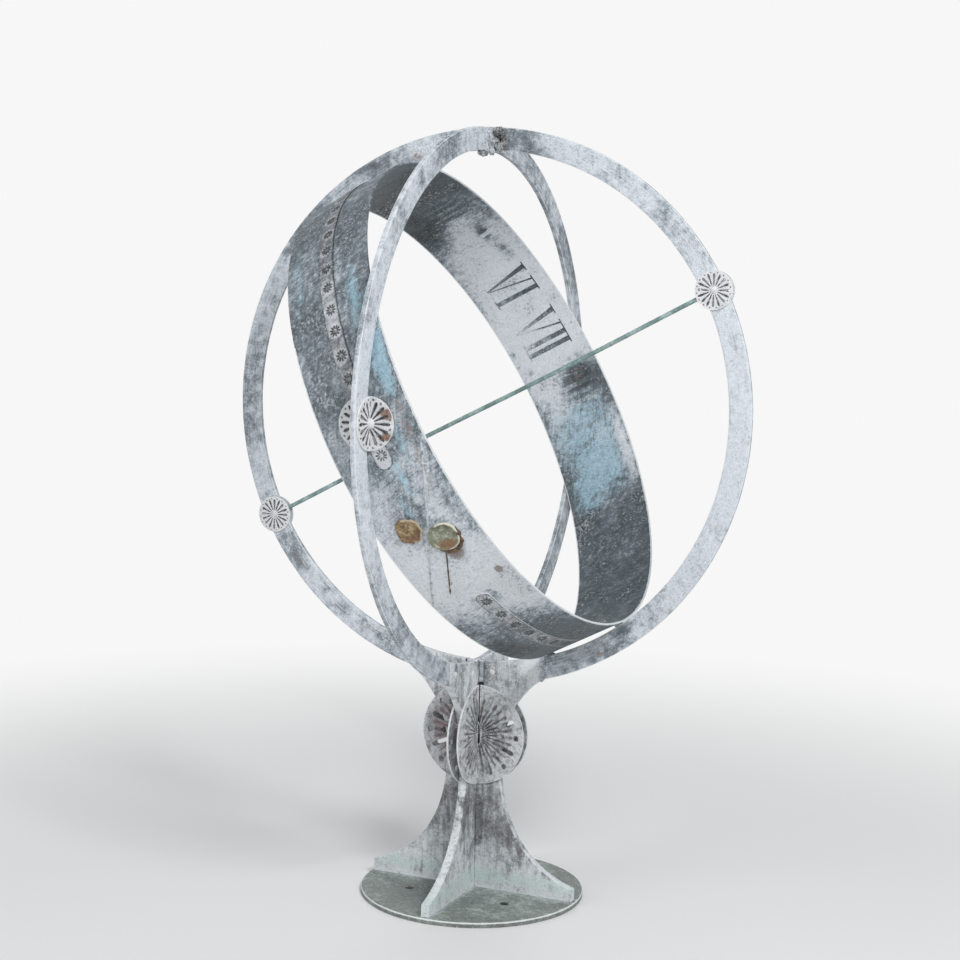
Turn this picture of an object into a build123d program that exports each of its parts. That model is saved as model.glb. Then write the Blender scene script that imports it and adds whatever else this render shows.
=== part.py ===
"""Armillary sphere sundial on a four-finned pedestal.

Frame: origin at the centre of the base plate's underside, +Z up, +X towards the
upper end of the gnomon rod (north), +Y west. All lengths are in millimetres.
"""

import math
import os

from build123d import *

os.makedirs("parts", exist_ok=True)

# Driving dimensions of the sphere
ring_outer_radius = 305.0
bar_width = 25.0
bar_thickness = 6.0
ring_centre_height = 545.0
polar_elevation = 27.5  # degrees above the horizon

# Equatorial band and the straps, beads and pads on it
band_width = 100.0
band_thickness = 2.0
strap_width = 17.0
strap_thickness = 1.0
strap_corner_radius = 8.0
strap_gap_from_meridian = 6.0  # degrees round the band from the meridian ring
upper_strap_break = 80.0  # degrees from the lowest point of the band
lower_strap_break = 46.0  # degrees from the lowest point of the band
pad_radius = 13.5
pad_height = 2.2
pad_places = ((-66.4, -15.5), (-62.2, 11.5))  # degrees round the band, mm along its axis
bead_inset_outer = 2.0  # from the band's edge to the near end of a solder bead
bead_inset_inner = 14.0
bead_depth = 5.0

# Gnomon rod
rod_radius = 2.5
journal_radius = 1.75
journal_length = 8.0
journal_clearance = 0.05
journal_end_gap = 0.5

# Base plate
base_radius = 125.0
base_thickness = 6.0
base_edge_radius = 1.5
anchor_spacing_x = 116.0
anchor_spacing_y = 84.0
anchor_hole_radius = 4.5

# Pedestal fins
fin_thickness = 10.0
foot_setback = 3.0
foot_height = 14.0
foot_sweep_flatness = 62.0  # how far the lower sweep stays near the plate
foot_sweep_rise = 18.0
foot_sweep_knee = 0.55625  # height at which the sweep meets the neck's line, as a share of the waist's
neck_half_width = 32.0
neck_length = 6.0  # straight stretch below the waist
waist_drop = 80.0  # from the lowest point of the rings down to the waist
cradle_half_width = 80.0
fin_split_drop = 17.0  # from the medallions' centre down to the end of the split
fin_split_gap = 5.5

# Rivets through the cradle
inner_rivet_reach = 21.0
outer_rivet_reach = 67.0
rivet_radius = 2.0
rivet_head_radius = 3.2
rivet_head_height = 0.9

# Rosettes: medallions on the pedestal, crossing rosettes and pole rosettes
medallion_radius = 56.0
medallion_drop = 2.0  # from the lowest point of the rings down to a medallion's top
medallion_thickness = 2.0
keyhole_half_width = 4.0
keyhole_half_length = 15.0
slit_half_width = 2.8
crossing_rosette_radius = 26.5
crossing_rosette_thickness = 1.5
crossing_hub_radius = 5.5
pole_rosette_radius = 20.5
pole_rosette_thickness = 1.5
pole_rivet_radius = 2.0
pole_rivet_head_radius = 4.8
pole_rivet_head_height = 2.0
slot_width_ratio = 0.07  # openings of a rosette, as shares of its own radius
slot_inner_ratio = 0.46
slot_outer_ratio = 0.86
lozenge_ratio = 0.55
lozenge_length_ratio = 0.2
lozenge_width_ratio = 0.11
eyelet_ratio = 0.84
eyelet_radius_ratio = 0.045
rosette_step = 45.0  # degrees from one radial slot to the next
rivet_head_taper = 35.0  # degrees

# Solder fillets where the rings cross at the top
crown_fillet_radius = 10.0
crown_fillet_drop = 3.0
crown_fillet_inset = 1.0

# Clearances
seat_clearance = 0.3
side_clearance = 0.1
film = 0.05

# Worked-out sizes
ring_inner_radius = ring_outer_radius - bar_width
ring_mid_radius = ring_outer_radius - bar_width / 2
bar_half = bar_thickness / 2
fin_half = fin_thickness / 2
band_half = band_width / 2
band_outer_radius = math.sqrt((ring_inner_radius - seat_clearance) ** 2 - band_half**2)
strap_outer_radius = band_outer_radius + film + strap_thickness
saddle_radius = ring_outer_radius + seat_clearance
saddle_half_width = bar_half + side_clearance
foot_radius = base_radius - foot_setback
ring_bottom = ring_centre_height - ring_outer_radius
waist_height = ring_bottom - waist_drop
medallion_height = ring_bottom - medallion_drop - medallion_radius
fin_split_height = medallion_height - fin_split_drop
half_turn = 180.0
tilt = math.radians(polar_elevation)
centre = Vector(0, 0, ring_centre_height)
polar_direction = Vector(math.cos(tilt), 0, math.sin(tilt))
lowest_direction = Vector(math.sin(tilt), 0, -math.cos(tilt))
polar_plane = Plane(origin=centre, x_dir=lowest_direction, z_dir=polar_direction)
meridian_plane = Plane(origin=centre, x_dir=(1, 0, 0), z_dir=(0, -1, 0))
colure_plane = Plane(origin=centre, x_dir=(0, 1, 0), z_dir=(1, 0, 0))


def save(piece, name):
    """Label a finished piece and write it as one STEP file."""
    piece.part.label = name
    export_step(piece.part, f"parts/{name}.step")


def lower_ring_height(radius, reach):
    """Height of a circle about the sphere's centre, below it, at a reach from the axis."""
    return ring_centre_height - math.sqrt(radius**2 - reach**2)


def half_fin_sketch(plane):
    """Half of a fin's face on a plane whose x is the reach and whose y is the height."""
    foot_top = base_thickness + foot_height
    shoulder = (cradle_half_width, lower_ring_height(ring_outer_radius, cradle_half_width))
    cheek_end = (cradle_half_width, lower_ring_height(ring_inner_radius, cradle_half_width))
    cheek_middle_reach = cradle_half_width / 2
    cheek_middle = (cheek_middle_reach, lower_ring_height(ring_inner_radius, cheek_middle_reach))
    cheek_start = (0, lower_ring_height(ring_inner_radius, 0))
    neck_bottom = (neck_half_width, waist_height - neck_length)
    neck_top = (neck_half_width, waist_height)
    with BuildSketch(plane) as face:
        with BuildLine():
            Line((0, base_thickness), (foot_radius, base_thickness))
            Line((foot_radius, base_thickness), (foot_radius, foot_top))
            Bezier(
                (foot_radius, foot_top),
                (foot_radius - foot_sweep_flatness, foot_top + foot_sweep_rise),
                (neck_half_width, foot_sweep_knee * waist_height),
                neck_bottom,
            )
            Line(neck_bottom, neck_top)
            TangentArc(neck_top, shoulder, tangent=(0, 1))
            Line(shoulder, cheek_end)
            ThreePointArc(cheek_end, cheek_middle, cheek_start)
            Line(cheek_start, (0, base_thickness))
        make_face()
    return face.sketch


def cut_saddle(plane):
    """Cut the open groove that takes a ring's bar, in the plane of that ring."""
    with BuildSketch(plane) as disc:
        Circle(saddle_radius)
    extrude(disc.sketch, amount=saddle_half_width, both=True, mode=Mode.SUBTRACT)


def rivet_places(plane, sides):
    """Planes at the rivets of a ring's saddle, each facing along the ring's own normal."""
    places = []
    for side in sides:
        for reach in (inner_rivet_reach, outer_rivet_reach):
            drop = math.sqrt(ring_mid_radius**2 - reach**2)
            spot = plane.from_local_coords((side * reach, -drop, 0))
            places.append(Plane(origin=spot, x_dir=plane.x_dir, z_dir=plane.z_dir))
    return places


def drill(places, radius):
    """Drill a round hole through the piece at each plane."""
    for place in places:
        with BuildSketch(place) as hole:
            Circle(radius)
        extrude(hole.sketch, amount=fin_thickness, both=True, mode=Mode.SUBTRACT)


def draw_openings(radius, first_angle, slots, between):
    """Cut a rosette's pattern: radial slots, and a lozenge and an eyelet between them."""
    slot_middle = radius * (slot_inner_ratio + slot_outer_ratio) / 2
    slot_length = radius * (slot_outer_ratio - slot_inner_ratio)
    between_angle = first_angle + rosette_step / 2
    with PolarLocations(slot_middle, slots, first_angle, slots * rosette_step):
        SlotOverall(slot_length, radius * slot_width_ratio, mode=Mode.SUBTRACT)
    with PolarLocations(radius * lozenge_ratio, between, between_angle, between * rosette_step):
        draw_lozenge(radius * lozenge_length_ratio, radius * lozenge_width_ratio)
    with PolarLocations(radius * eyelet_ratio, between, between_angle, between * rosette_step):
        Circle(radius * eyelet_radius_ratio, mode=Mode.SUBTRACT)


def draw_lozenge(length, width):
    """Cut a four-sided opening whose long diagonal is radial."""
    Polygon((length / 2, 0), (0, width / 2), (-length / 2, 0), (0, -width / 2), mode=Mode.SUBTRACT)


def draw_half_rosette(radius):
    """Draw the half of a folded rosette that lies on the +x side of its fold."""
    Circle(radius)
    with Locations((-radius, 0)):
        Rectangle(2 * radius, 2 * radius, mode=Mode.SUBTRACT)
    draw_openings(radius, -1.5 * rosette_step, 4, 3)


# Base plate
with BuildPart() as base_plate:
    with BuildSketch():
        Circle(base_radius)
        with GridLocations(anchor_spacing_x, anchor_spacing_y, 2, 2):
            Circle(anchor_hole_radius, mode=Mode.SUBTRACT)
    extrude(amount=base_thickness)
    rim = base_plate.faces().sort_by(Axis.Z)[-1].edges().sort_by(Edge.length)[-1]
    fillet(rim, base_edge_radius)
save(base_plate, "base_plate")

# Through fin, which runs east-west and carries the colure ring
with BuildPart() as east_west_fin:
    for side in (-1, 1):
        side_plane = Plane(origin=(0, 0, 0), x_dir=(0, side, 0), z_dir=(side, 0, 0))
        extrude(half_fin_sketch(side_plane), amount=fin_half, both=True)
    cut_saddle(colure_plane)
    cut_saddle(meridian_plane)
    drill(rivet_places(colure_plane, (-1, 1)), rivet_radius + film)
save(east_west_fin, "east_west_fin")

# Half fins on its two faces, which carry the meridian ring
for fin_name, side in (("north_fin", 1), ("south_fin", -1)):
    fin_plane = Plane(origin=(0, 0, 0), x_dir=(side, 0, 0), z_dir=(0, -side, 0))
    split_top = lower_ring_height(ring_inner_radius, cradle_half_width)
    with BuildPart() as half_fin:
        extrude(half_fin_sketch(fin_plane), amount=fin_half, both=True)
        Box(fin_thickness, 2 * fin_thickness, 2 * split_top, mode=Mode.SUBTRACT)
        with Locations((0, 0, (fin_split_height + split_top) / 2)):
            Box(
                fin_thickness + 2 * fin_split_gap,
                2 * fin_thickness,
                split_top - fin_split_height,
                mode=Mode.SUBTRACT,
            )
        cut_saddle(meridian_plane)
        drill(rivet_places(meridian_plane, (side,)), rivet_radius + film)
    save(half_fin, fin_name)

# Rivets that pin both rings between the cheeks of the fins
with BuildPart() as saddle_rivets:
    rivet_planes = rivet_places(colure_plane, (-1, 1)) + rivet_places(meridian_plane, (-1, 1))
    for rivet_plane in rivet_planes:
        with BuildSketch(rivet_plane):
            Circle(rivet_radius)
        extrude(amount=fin_half, both=True)
        for face_side in (-1, 1):
            with BuildSketch(rivet_plane.offset(face_side * fin_half)):
                Circle(rivet_head_radius)
            extrude(amount=face_side * rivet_head_height, taper=rivet_head_taper)
save(saddle_rivets, "saddle_rivets")

# Meridian ring, a full hoop with the two sockets of the rod
with BuildPart() as meridian_ring:
    with BuildSketch(meridian_plane):
        Circle(ring_outer_radius)
        Circle(ring_inner_radius, mode=Mode.SUBTRACT)
    extrude(amount=bar_half, both=True)
    drill(rivet_places(meridian_plane, (-1, 1)), rivet_radius + film)
    for pole in (-1, 1):
        mouth = centre + polar_direction * (pole * (ring_inner_radius - journal_end_gap))
        with BuildSketch(Plane(origin=mouth, z_dir=polar_direction * pole)):
            Circle(journal_radius + journal_clearance)
        extrude(amount=journal_length + 2 * journal_end_gap, mode=Mode.SUBTRACT)
        pole_centre = centre + polar_direction * (pole * ring_mid_radius)
        with BuildSketch(Plane(origin=pole_centre, z_dir=(0, 1, 0))):
            Circle(pole_rivet_radius + film)
        extrude(amount=bar_thickness, both=True, mode=Mode.SUBTRACT)
save(meridian_ring, "meridian_ring")

# Colure ring, two half hoops that butt against the meridian ring
for half_name, side in (("colure_ring_east", -1), ("colure_ring_west", 1)):
    with BuildPart() as half_ring:
        with BuildSketch(colure_plane):
            Circle(ring_outer_radius)
            Circle(ring_inner_radius, mode=Mode.SUBTRACT)
            cut_width = ring_outer_radius + bar_half + film
            with Locations((side * (bar_half + film - cut_width / 2), 0)):
                Rectangle(cut_width, 2 * ring_outer_radius, mode=Mode.SUBTRACT)
        extrude(amount=bar_half, both=True)
        drill(rivet_places(colure_plane, (side,)), rivet_radius + film)
    save(half_ring, half_name)

# Solder fillets in the four corners of the crossing at the top
with BuildPart() as crown_fillets:
    crown_bottom = ring_centre_height + ring_inner_radius - crown_fillet_drop
    crown_height = bar_width + crown_fillet_drop - crown_fillet_inset
    corner = bar_half + film
    with BuildSketch(Plane.XY.offset(crown_bottom)):
        for east in (-1, 1):
            for north in (-1, 1):
                with Locations((north * corner, east * corner)):
                    Circle(crown_fillet_radius)
        Rectangle(2 * corner, 4 * crown_fillet_radius, mode=Mode.SUBTRACT)
        Rectangle(4 * crown_fillet_radius, 2 * corner, mode=Mode.SUBTRACT)
    extrude(amount=crown_height)
save(crown_fillets, "crown_fillets")

# Equatorial band, the dial that carries the hours on its inner face
with BuildPart() as equatorial_band:
    with BuildSketch(polar_plane):
        Circle(band_outer_radius)
        Circle(band_outer_radius - band_thickness, mode=Mode.SUBTRACT)
    extrude(amount=band_half, both=True)
save(equatorial_band, "equatorial_band")


def cut_inside_band(clearance):
    """Cut away everything inside the band's outer surface grown by a clearance."""
    with BuildSketch(polar_plane) as disc:
        Circle(band_outer_radius + clearance)
    extrude(disc.sketch, amount=band_width, both=True, mode=Mode.SUBTRACT)


# Solder beads between the rings' inner edges and the band's two edges
with BuildPart() as band_beads:
    near_edge = (band_half - bead_inset_outer) / ring_inner_radius
    far_edge = (band_half - bead_inset_inner) / ring_inner_radius
    meridian_span = [math.degrees(math.asin(share)) for share in (far_edge, near_edge)]
    colure_span = [math.degrees(math.asin(share / math.sin(tilt))) for share in (far_edge, near_edge)]
    crossings = [(meridian_plane, 90 + polar_elevation, meridian_span)]
    crossings.append((meridian_plane, 270 + polar_elevation, meridian_span))
    crossings.append((colure_plane, 0, colure_span))
    crossings.append((colure_plane, half_turn, colure_span))
    for ring_plane, middle, span in crossings:
        for way in (-1, 1):
            start = middle + way * span[0]
            sweep = way * (span[1] - span[0])
            with BuildSketch(ring_plane):
                with BuildLine():
                    outer = CenterArc((0, 0), ring_inner_radius - film, start, sweep)
                    inner = CenterArc((0, 0), ring_inner_radius - bead_depth, start, sweep)
                    Line(outer @ 0, inner @ 0)
                    Line(outer @ 1, inner @ 1)
                make_face()
            extrude(amount=bar_half, both=True)
    cut_inside_band(film)
save(band_beads, "band_solder_beads")

# Ornamental straps along the middle of the band's outer face
strap_spans = {
    "star_strap_east_upper": (strap_gap_from_meridian - half_turn, -upper_strap_break),
    "star_strap_east_lower": (-lower_strap_break, -strap_gap_from_meridian),
    "star_strap_west": (strap_gap_from_meridian, half_turn - strap_gap_from_meridian),
}
for strap_name, (first, last) in strap_spans.items():
    with BuildPart() as strap:
        with BuildSketch(polar_plane):
            with BuildLine():
                strap_top = CenterArc((0, 0), strap_outer_radius, first, last - first)
                strap_bottom = CenterArc((0, 0), band_outer_radius + film, first, last - first)
                Line(strap_top @ 0, strap_bottom @ 0)
                Line(strap_top @ 1, strap_bottom @ 1)
            make_face()
        extrude(amount=strap_width / 2, both=True)
        corners = strap.edges().sort_by(Edge.length)[:4]
        fillet(corners, strap_corner_radius)
    save(strap, strap_name)

# Two pads of old solder in the break between the east straps
with BuildPart() as solder_pads:
    for angle, along in pad_places:
        turn = math.radians(angle)
        outward = lowest_direction * math.cos(turn) + Vector(0, 1, 0) * math.sin(turn)
        spot = centre + polar_direction * along + outward * (band_outer_radius - pad_height)
        with BuildSketch(Plane(origin=spot, x_dir=polar_direction, z_dir=outward)):
            Circle(pad_radius)
        extrude(amount=2 * pad_height)
    cut_inside_band(film)
save(solder_pads, "solder_pads")

# Gnomon rod with a turned journal at each end
with BuildPart() as gnomon_rod:
    with BuildSketch(polar_plane):
        Circle(rod_radius)
    extrude(amount=ring_inner_radius - seat_clearance, both=True)
    with BuildSketch(polar_plane):
        Circle(journal_radius)
    extrude(amount=ring_inner_radius + journal_length, both=True)
save(gnomon_rod, "gnomon_rod")

# Pole rosettes, one on each face of the meridian ring at both ends of the rod
for pole_name, pole in (("north", 1), ("south", -1)):
    for face_name, face in (("east", -1), ("west", 1)):
        pole_centre = centre + polar_direction * (pole * ring_mid_radius)
        face_centre = pole_centre + Vector(0, face * bar_half, 0)
        with BuildPart() as pole_rosette:
            with BuildSketch(Plane(origin=face_centre, x_dir=(1, 0, 0), z_dir=(0, face, 0))):
                Circle(pole_rosette_radius)
                Circle(pole_rivet_radius + film, mode=Mode.SUBTRACT)
                draw_openings(pole_rosette_radius, 0, 8, 8)
            extrude(amount=pole_rosette_thickness)
        save(pole_rosette, f"{pole_name}_pole_rosette_{face_name}")

# Domed rivets through the pole rosettes and the ring between them
with BuildPart() as pole_rivets:
    grip_half = bar_half + pole_rosette_thickness
    for pole in (-1, 1):
        pole_plane = Plane(
            origin=centre + polar_direction * (pole * ring_mid_radius),
            x_dir=(1, 0, 0),
            z_dir=(0, 1, 0),
        )
        with BuildSketch(pole_plane):
            Circle(pole_rivet_radius)
        extrude(amount=grip_half, both=True)
        for face in (-1, 1):
            with BuildSketch(pole_plane.offset(face * grip_half)):
                Circle(pole_rivet_head_radius)
            extrude(amount=face * pole_rivet_head_height, taper=rivet_head_taper)
save(pole_rivets, "pole_rivets")

# Folded rosettes in the corners between the colure ring's faces and the band
fold_radius = strap_outer_radius + film
crossing_outer_radius = fold_radius + crossing_rosette_thickness
for side_name, side in (("east", -1), ("west", 1)):
    for face_name, face in (("north", 1), ("south", -1)):
        ring_face = face * (bar_half + film)
        fold = Vector(ring_face, side * fold_radius, ring_centre_height)
        with BuildPart() as crossing_rosette:
            band_leg = Plane(origin=fold, x_dir=(face, 0, 0), z_dir=(0, side, 0))
            with BuildSketch(band_leg):
                draw_half_rosette(crossing_rosette_radius)
            extrude(amount=crossing_hub_radius, both=True)
            with BuildSketch(polar_plane):
                Circle(crossing_outer_radius)
            extrude(amount=band_half, both=True, mode=Mode.INTERSECT)
            ring_leg = Plane(origin=fold, x_dir=(0, side, 0), z_dir=(face, 0, 0))
            with BuildSketch(ring_leg):
                draw_half_rosette(crossing_rosette_radius)
            extrude(amount=crossing_rosette_thickness)
            with Locations(fold):
                Sphere(crossing_hub_radius)
            with Locations((ring_face - face * crossing_hub_radius, fold.Y, fold.Z)):
                Box(
                    2 * crossing_hub_radius,
                    4 * crossing_hub_radius,
                    2 * crossing_hub_radius,
                    mode=Mode.SUBTRACT,
                )
            cut_inside_band(fold_radius - band_outer_radius)
        save(crossing_rosette, f"{side_name}_crossing_rosette_{face_name}")

# Folded medallions in the four corners between the fins
for face_name, face in (("north", 1), ("south", -1)):
    for side_name, side in (("east", -1), ("west", 1)):
        fold = Vector(face * fin_half, side * fin_half, medallion_height)
        with BuildPart() as medallion:
            with BuildSketch(Plane(origin=fold, x_dir=(face, 0, 0), z_dir=(0, side, 0))):
                draw_half_rosette(medallion_radius)
            extrude(amount=medallion_thickness)
            with BuildSketch(Plane(origin=fold, x_dir=(0, side, 0), z_dir=(face, 0, 0))):
                draw_half_rosette(medallion_radius)
            extrude(amount=medallion_thickness)
            with Locations(fold):
                Box(
                    2 * keyhole_half_width,
                    2 * keyhole_half_width,
                    2 * keyhole_half_length,
                    mode=Mode.SUBTRACT,
                )
            with Locations(fold + Vector(0, 0, medallion_radius / 2)):
                Box(
                    2 * slit_half_width,
                    2 * slit_half_width,
                    medallion_radius,
                    mode=Mode.SUBTRACT,
                )
        save(medallion, f"medallion_{face_name}_{side_name}")
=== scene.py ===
import logging
import math
import random
from dataclasses import dataclass
from enum import Enum
from functools import lru_cache
from typing import Callable, Iterable, List, Optional, Sequence, Tuple

import bmesh
import bpy
import numpy as np
from mathutils import Matrix, Vector, noise


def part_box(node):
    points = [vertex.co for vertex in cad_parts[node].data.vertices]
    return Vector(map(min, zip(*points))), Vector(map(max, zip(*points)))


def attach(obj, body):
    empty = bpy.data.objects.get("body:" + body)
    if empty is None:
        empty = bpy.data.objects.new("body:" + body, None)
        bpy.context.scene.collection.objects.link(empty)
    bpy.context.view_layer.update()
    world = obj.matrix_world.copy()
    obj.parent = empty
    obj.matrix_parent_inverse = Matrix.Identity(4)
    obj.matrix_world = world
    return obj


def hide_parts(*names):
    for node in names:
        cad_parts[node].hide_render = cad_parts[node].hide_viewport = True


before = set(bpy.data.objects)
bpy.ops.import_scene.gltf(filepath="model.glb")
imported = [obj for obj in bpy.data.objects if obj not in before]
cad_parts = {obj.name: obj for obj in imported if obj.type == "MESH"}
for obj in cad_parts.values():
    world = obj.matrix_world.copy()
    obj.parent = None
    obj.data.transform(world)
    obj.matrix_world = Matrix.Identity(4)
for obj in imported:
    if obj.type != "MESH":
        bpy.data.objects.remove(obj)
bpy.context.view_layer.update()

LOG = logging.getLogger("armillary_sphere")

Colour = Tuple[float, float, float]
Pair = Tuple[float, float]
Triple = Tuple[float, float, float]

MM = 0.001
FULL_TURN = 2 * math.pi
HALF_TURN = math.pi
QUARTER_TURN = math.pi / 2
WELD = 0.001  # points nearer than this, in millimetres, are one

# Driving sizes of the sphere, in millimetres
RING_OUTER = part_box("meridian_ring")[1].x / MM
CENTRE_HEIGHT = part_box("meridian_ring")[1].z / MM - RING_OUTER
BAR_WIDTH = 25.0
BAR_THICKNESS = 6.0
RING_INNER = RING_OUTER - BAR_WIDTH
RING_MIDDLE = RING_OUTER - BAR_WIDTH / 2
POLAR_ELEVATION = math.radians(27.5)
BAND_WIDTH = 100.0
BAND_THICKNESS = 2.0
SEAT_CLEARANCE = 0.3
FILM = 0.05
BAND_OUTER = math.sqrt((RING_INNER - SEAT_CLEARANCE) ** 2 - (BAND_WIDTH / 2) ** 2)
STRAP_THICKNESS = 1.0
STRAP_OUTER = BAND_OUTER + FILM + STRAP_THICKNESS
FIN_THICKNESS = 10.0
SKIN = 0.2  # kept free below the nominal surface for the casting's roughness

# Directions of the sphere's own frame
CENTRE = Vector((0, 0, CENTRE_HEIGHT))
POLAR = Vector((math.cos(POLAR_ELEVATION), 0, math.sin(POLAR_ELEVATION)))
LOWEST = Vector((math.sin(POLAR_ELEVATION), 0, -math.cos(POLAR_ELEVATION)))
WEST = Vector((0, 1, 0))
NORTH = Vector((1, 0, 0))
UP = Vector((0, 0, 1))


class Body(Enum):
    """The moving bodies of the frame."""

    SPHERE = "sphere_and_pedestal"
    ROD = "rod"


class Slot(Enum):
    """The material slots."""

    RING = "ring_bronze"
    BAND = "band_bronze"
    STRAP = "strap_bronze"
    SOLDER = "solder"
    ROSETTE = "rosette_bronze"
    PEDESTAL = "pedestal_bronze"
    ROD = "rod_verdigris"


class Streak(Enum):
    """Which way a finish is streaked by brushing and wear."""

    NONE = "none"
    ALONG = "along the piece's own length"


@dataclass(frozen=True)
class Patina:
    """The finish of one weathered bronze surface. Sizes are in millimetres."""

    name: str
    dark: Colour = (0.032, 0.040, 0.046)
    slate: Colour = (0.115, 0.145, 0.160)
    pale: Colour = (0.40, 0.455, 0.50)
    bloom: Colour = (0.70, 0.745, 0.79)
    verdigris: Colour = (0.36, 0.56, 0.67)
    brown: Colour = (0.17, 0.10, 0.085)
    rust: Colour = (0.30, 0.14, 0.045)
    edge: Colour = (0.76, 0.79, 0.81)
    patch: float = 45.0
    fleck: float = 9.0
    grain: float = 1.6
    contrast: float = 1.5
    streak: Streak = Streak.NONE
    streak_size: Pair = (60.0, 2.5)
    streak_turn: float = 0.0
    streak_share: float = 0.5
    drip_share: float = 0.25
    drip_size: Pair = (50.0, 4.0)
    speck: float = 3.0
    speckle: float = 0.6
    pits: float = 0.12
    roughness: Pair = (0.45, 0.8)
    relief: float = 0.6


@dataclass(frozen=True)
class Stain:
    """A local change of tone: where it is, how far it reaches and what it adds."""

    place: Sequence[float]
    reach: Sequence[float]
    pale: float = 0.0
    green: float = 0.0
    brown: float = 0.0


class Graph:
    """A small helper that wires up the nodes of one material."""

    def __init__(self, name: str) -> None:
        """Start an empty material with its surface shader.

        Args:
            name: The material's name.
        """
        self.material = bpy.data.materials.new(name)
        self.material.use_nodes = True
        self.tree = self.material.node_tree
        self.tree.nodes.clear()
        self.output = self.tree.nodes.new("ShaderNodeOutputMaterial")
        self.shader = self.tree.nodes.new("ShaderNodeBsdfPrincipled")
        self.join(self.shader.outputs["BSDF"], self.output.inputs["Surface"])

    def join(self, source: bpy.types.NodeSocket, target: bpy.types.NodeSocket) -> None:
        """Link an output socket to an input socket."""
        self.tree.links.new(source, target)

    def feed(self, value: object, target: bpy.types.NodeSocket) -> None:
        """Give an input socket a value or the output of another node."""
        if isinstance(value, bpy.types.NodeSocket):
            self.join(value, target)
        else:
            target.default_value = value

    def noise(self, place: bpy.types.NodeSocket, size: float, detail: float = 4.0,
              roughness: float = 0.55, distortion: float = 0.0) -> bpy.types.NodeSocket:
        """Add a noise texture.

        Args:
            place: The coordinate that it is read at.
            size: The width of its features, in millimetres.
            detail: The number of its finer layers.
            roughness: The strength of the finer layers.
            distortion: How far its features are pulled about.

        Returns:
            The field, from 0 to 1.
        """
        node = self.tree.nodes.new("ShaderNodeTexNoise")
        node.inputs["Scale"].default_value = 1 / (size * MM)
        node.inputs["Detail"].default_value = detail
        node.inputs["Roughness"].default_value = roughness
        node.inputs["Distortion"].default_value = distortion
        self.join(place, node.inputs["Vector"])
        return node.outputs["Fac"]

    def cells(self, place: bpy.types.NodeSocket, size: float) -> bpy.types.NodeSocket:
        """Add the distance to the nearest of many scattered points."""
        node = self.tree.nodes.new("ShaderNodeTexVoronoi")
        node.inputs["Scale"].default_value = 1 / (size * MM)
        self.join(place, node.inputs["Vector"])
        return node.outputs["Distance"]

    def mapping(self, place: bpy.types.NodeSocket, scale: Triple, turn: float = 0.0,
                shift: Triple = (0, 0, 0)) -> bpy.types.NodeSocket:
        """Scale, turn and shift a coordinate.

        Args:
            place: The coordinate.
            scale: The factor along each axis.
            turn: The angle about z, in radians.
            shift: What is added along each axis.

        Returns:
            The new coordinate.
        """
        node = self.tree.nodes.new("ShaderNodeMapping")
        node.inputs["Scale"].default_value = scale
        node.inputs["Rotation"].default_value = (0, 0, turn)
        node.inputs["Location"].default_value = shift
        self.join(place, node.inputs["Vector"])
        return node.outputs["Vector"]

    def math(self, operation: str, first: object, second: object = 0.0) -> bpy.types.NodeSocket:
        """Add a math node."""
        node = self.tree.nodes.new("ShaderNodeMath")
        node.operation = operation
        self.feed(first, node.inputs[0])
        self.feed(second, node.inputs[1])
        return node.outputs[0]

    def plus(self, *fields: object) -> bpy.types.NodeSocket:
        """Add up fields and numbers, from the first to the last."""
        total = fields[0]
        for field in fields[1:]:
            total = self.math("ADD", total, field)
        return total

    def times(self, first: object, second: object) -> bpy.types.NodeSocket:
        """Multiply two fields or numbers."""
        return self.math("MULTIPLY", first, second)

    def spread(self, field: bpy.types.NodeSocket, share: float) -> bpy.types.NodeSocket:
        """Centre a 0 to 1 field on zero and scale it."""
        return self.times(self.math("SUBTRACT", field, 0.5), share)

    def step(self, field: bpy.types.NodeSocket, low: float, high: float) -> bpy.types.NodeSocket:
        """Turn a field into a mask that rises from 0 at low to 1 at high."""
        node = self.tree.nodes.new("ShaderNodeMapRange")
        node.interpolation_type = "SMOOTHSTEP"
        node.inputs["From Min"].default_value = low
        node.inputs["From Max"].default_value = high
        self.join(field, node.inputs["Value"])
        return node.outputs["Result"]

    def ramp(self, field: bpy.types.NodeSocket,
             stops: Sequence[Tuple[float, Colour]]) -> bpy.types.NodeSocket:
        """Map a field to colours.

        Args:
            field: The field, from 0 to 1.
            stops: The places on the ramp and their colours.

        Returns:
            The colour.
        """
        node = self.tree.nodes.new("ShaderNodeValToRGB")
        elements = node.color_ramp.elements
        while len(elements) < len(stops):
            elements.new(0.5)
        for element, (place, colour) in zip(elements, stops):
            element.position = place
            element.color = (*colour, 1)
        self.join(field, node.inputs["Fac"])
        return node.outputs["Color"]

    def mix(self, share: object, first: object, second: object,
            blend: str = "MIX") -> bpy.types.NodeSocket:
        """Blend two colours.

        Args:
            share: How much of the second colour counts.
            first: The colour below.
            second: The colour on top.
            blend: The way of blending.

        Returns:
            The blended colour.
        """
        node = self.tree.nodes.new("ShaderNodeMix")
        node.data_type = "RGBA"
        node.blend_type = blend
        self.feed(share, node.inputs["Factor"])
        for value, target in ((first, node.inputs["A"]), (second, node.inputs["B"])):
            self.feed((*value, 1) if isinstance(value, tuple) else value, target)
        return node.outputs["Result"]

    def bump(self, height: bpy.types.NodeSocket, distance: float, strength: float) -> None:
        """Raise the shader's surface by a height field.

        Args:
            height: The field.
            distance: The height of a step of one, in millimetres.
            strength: The share of it that shows.
        """
        node = self.tree.nodes.new("ShaderNodeBump")
        node.inputs["Distance"].default_value = distance * MM
        node.inputs["Strength"].default_value = strength
        self.join(height, node.inputs["Height"])
        self.join(node.outputs["Normal"], self.shader.inputs["Normal"])


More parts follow.
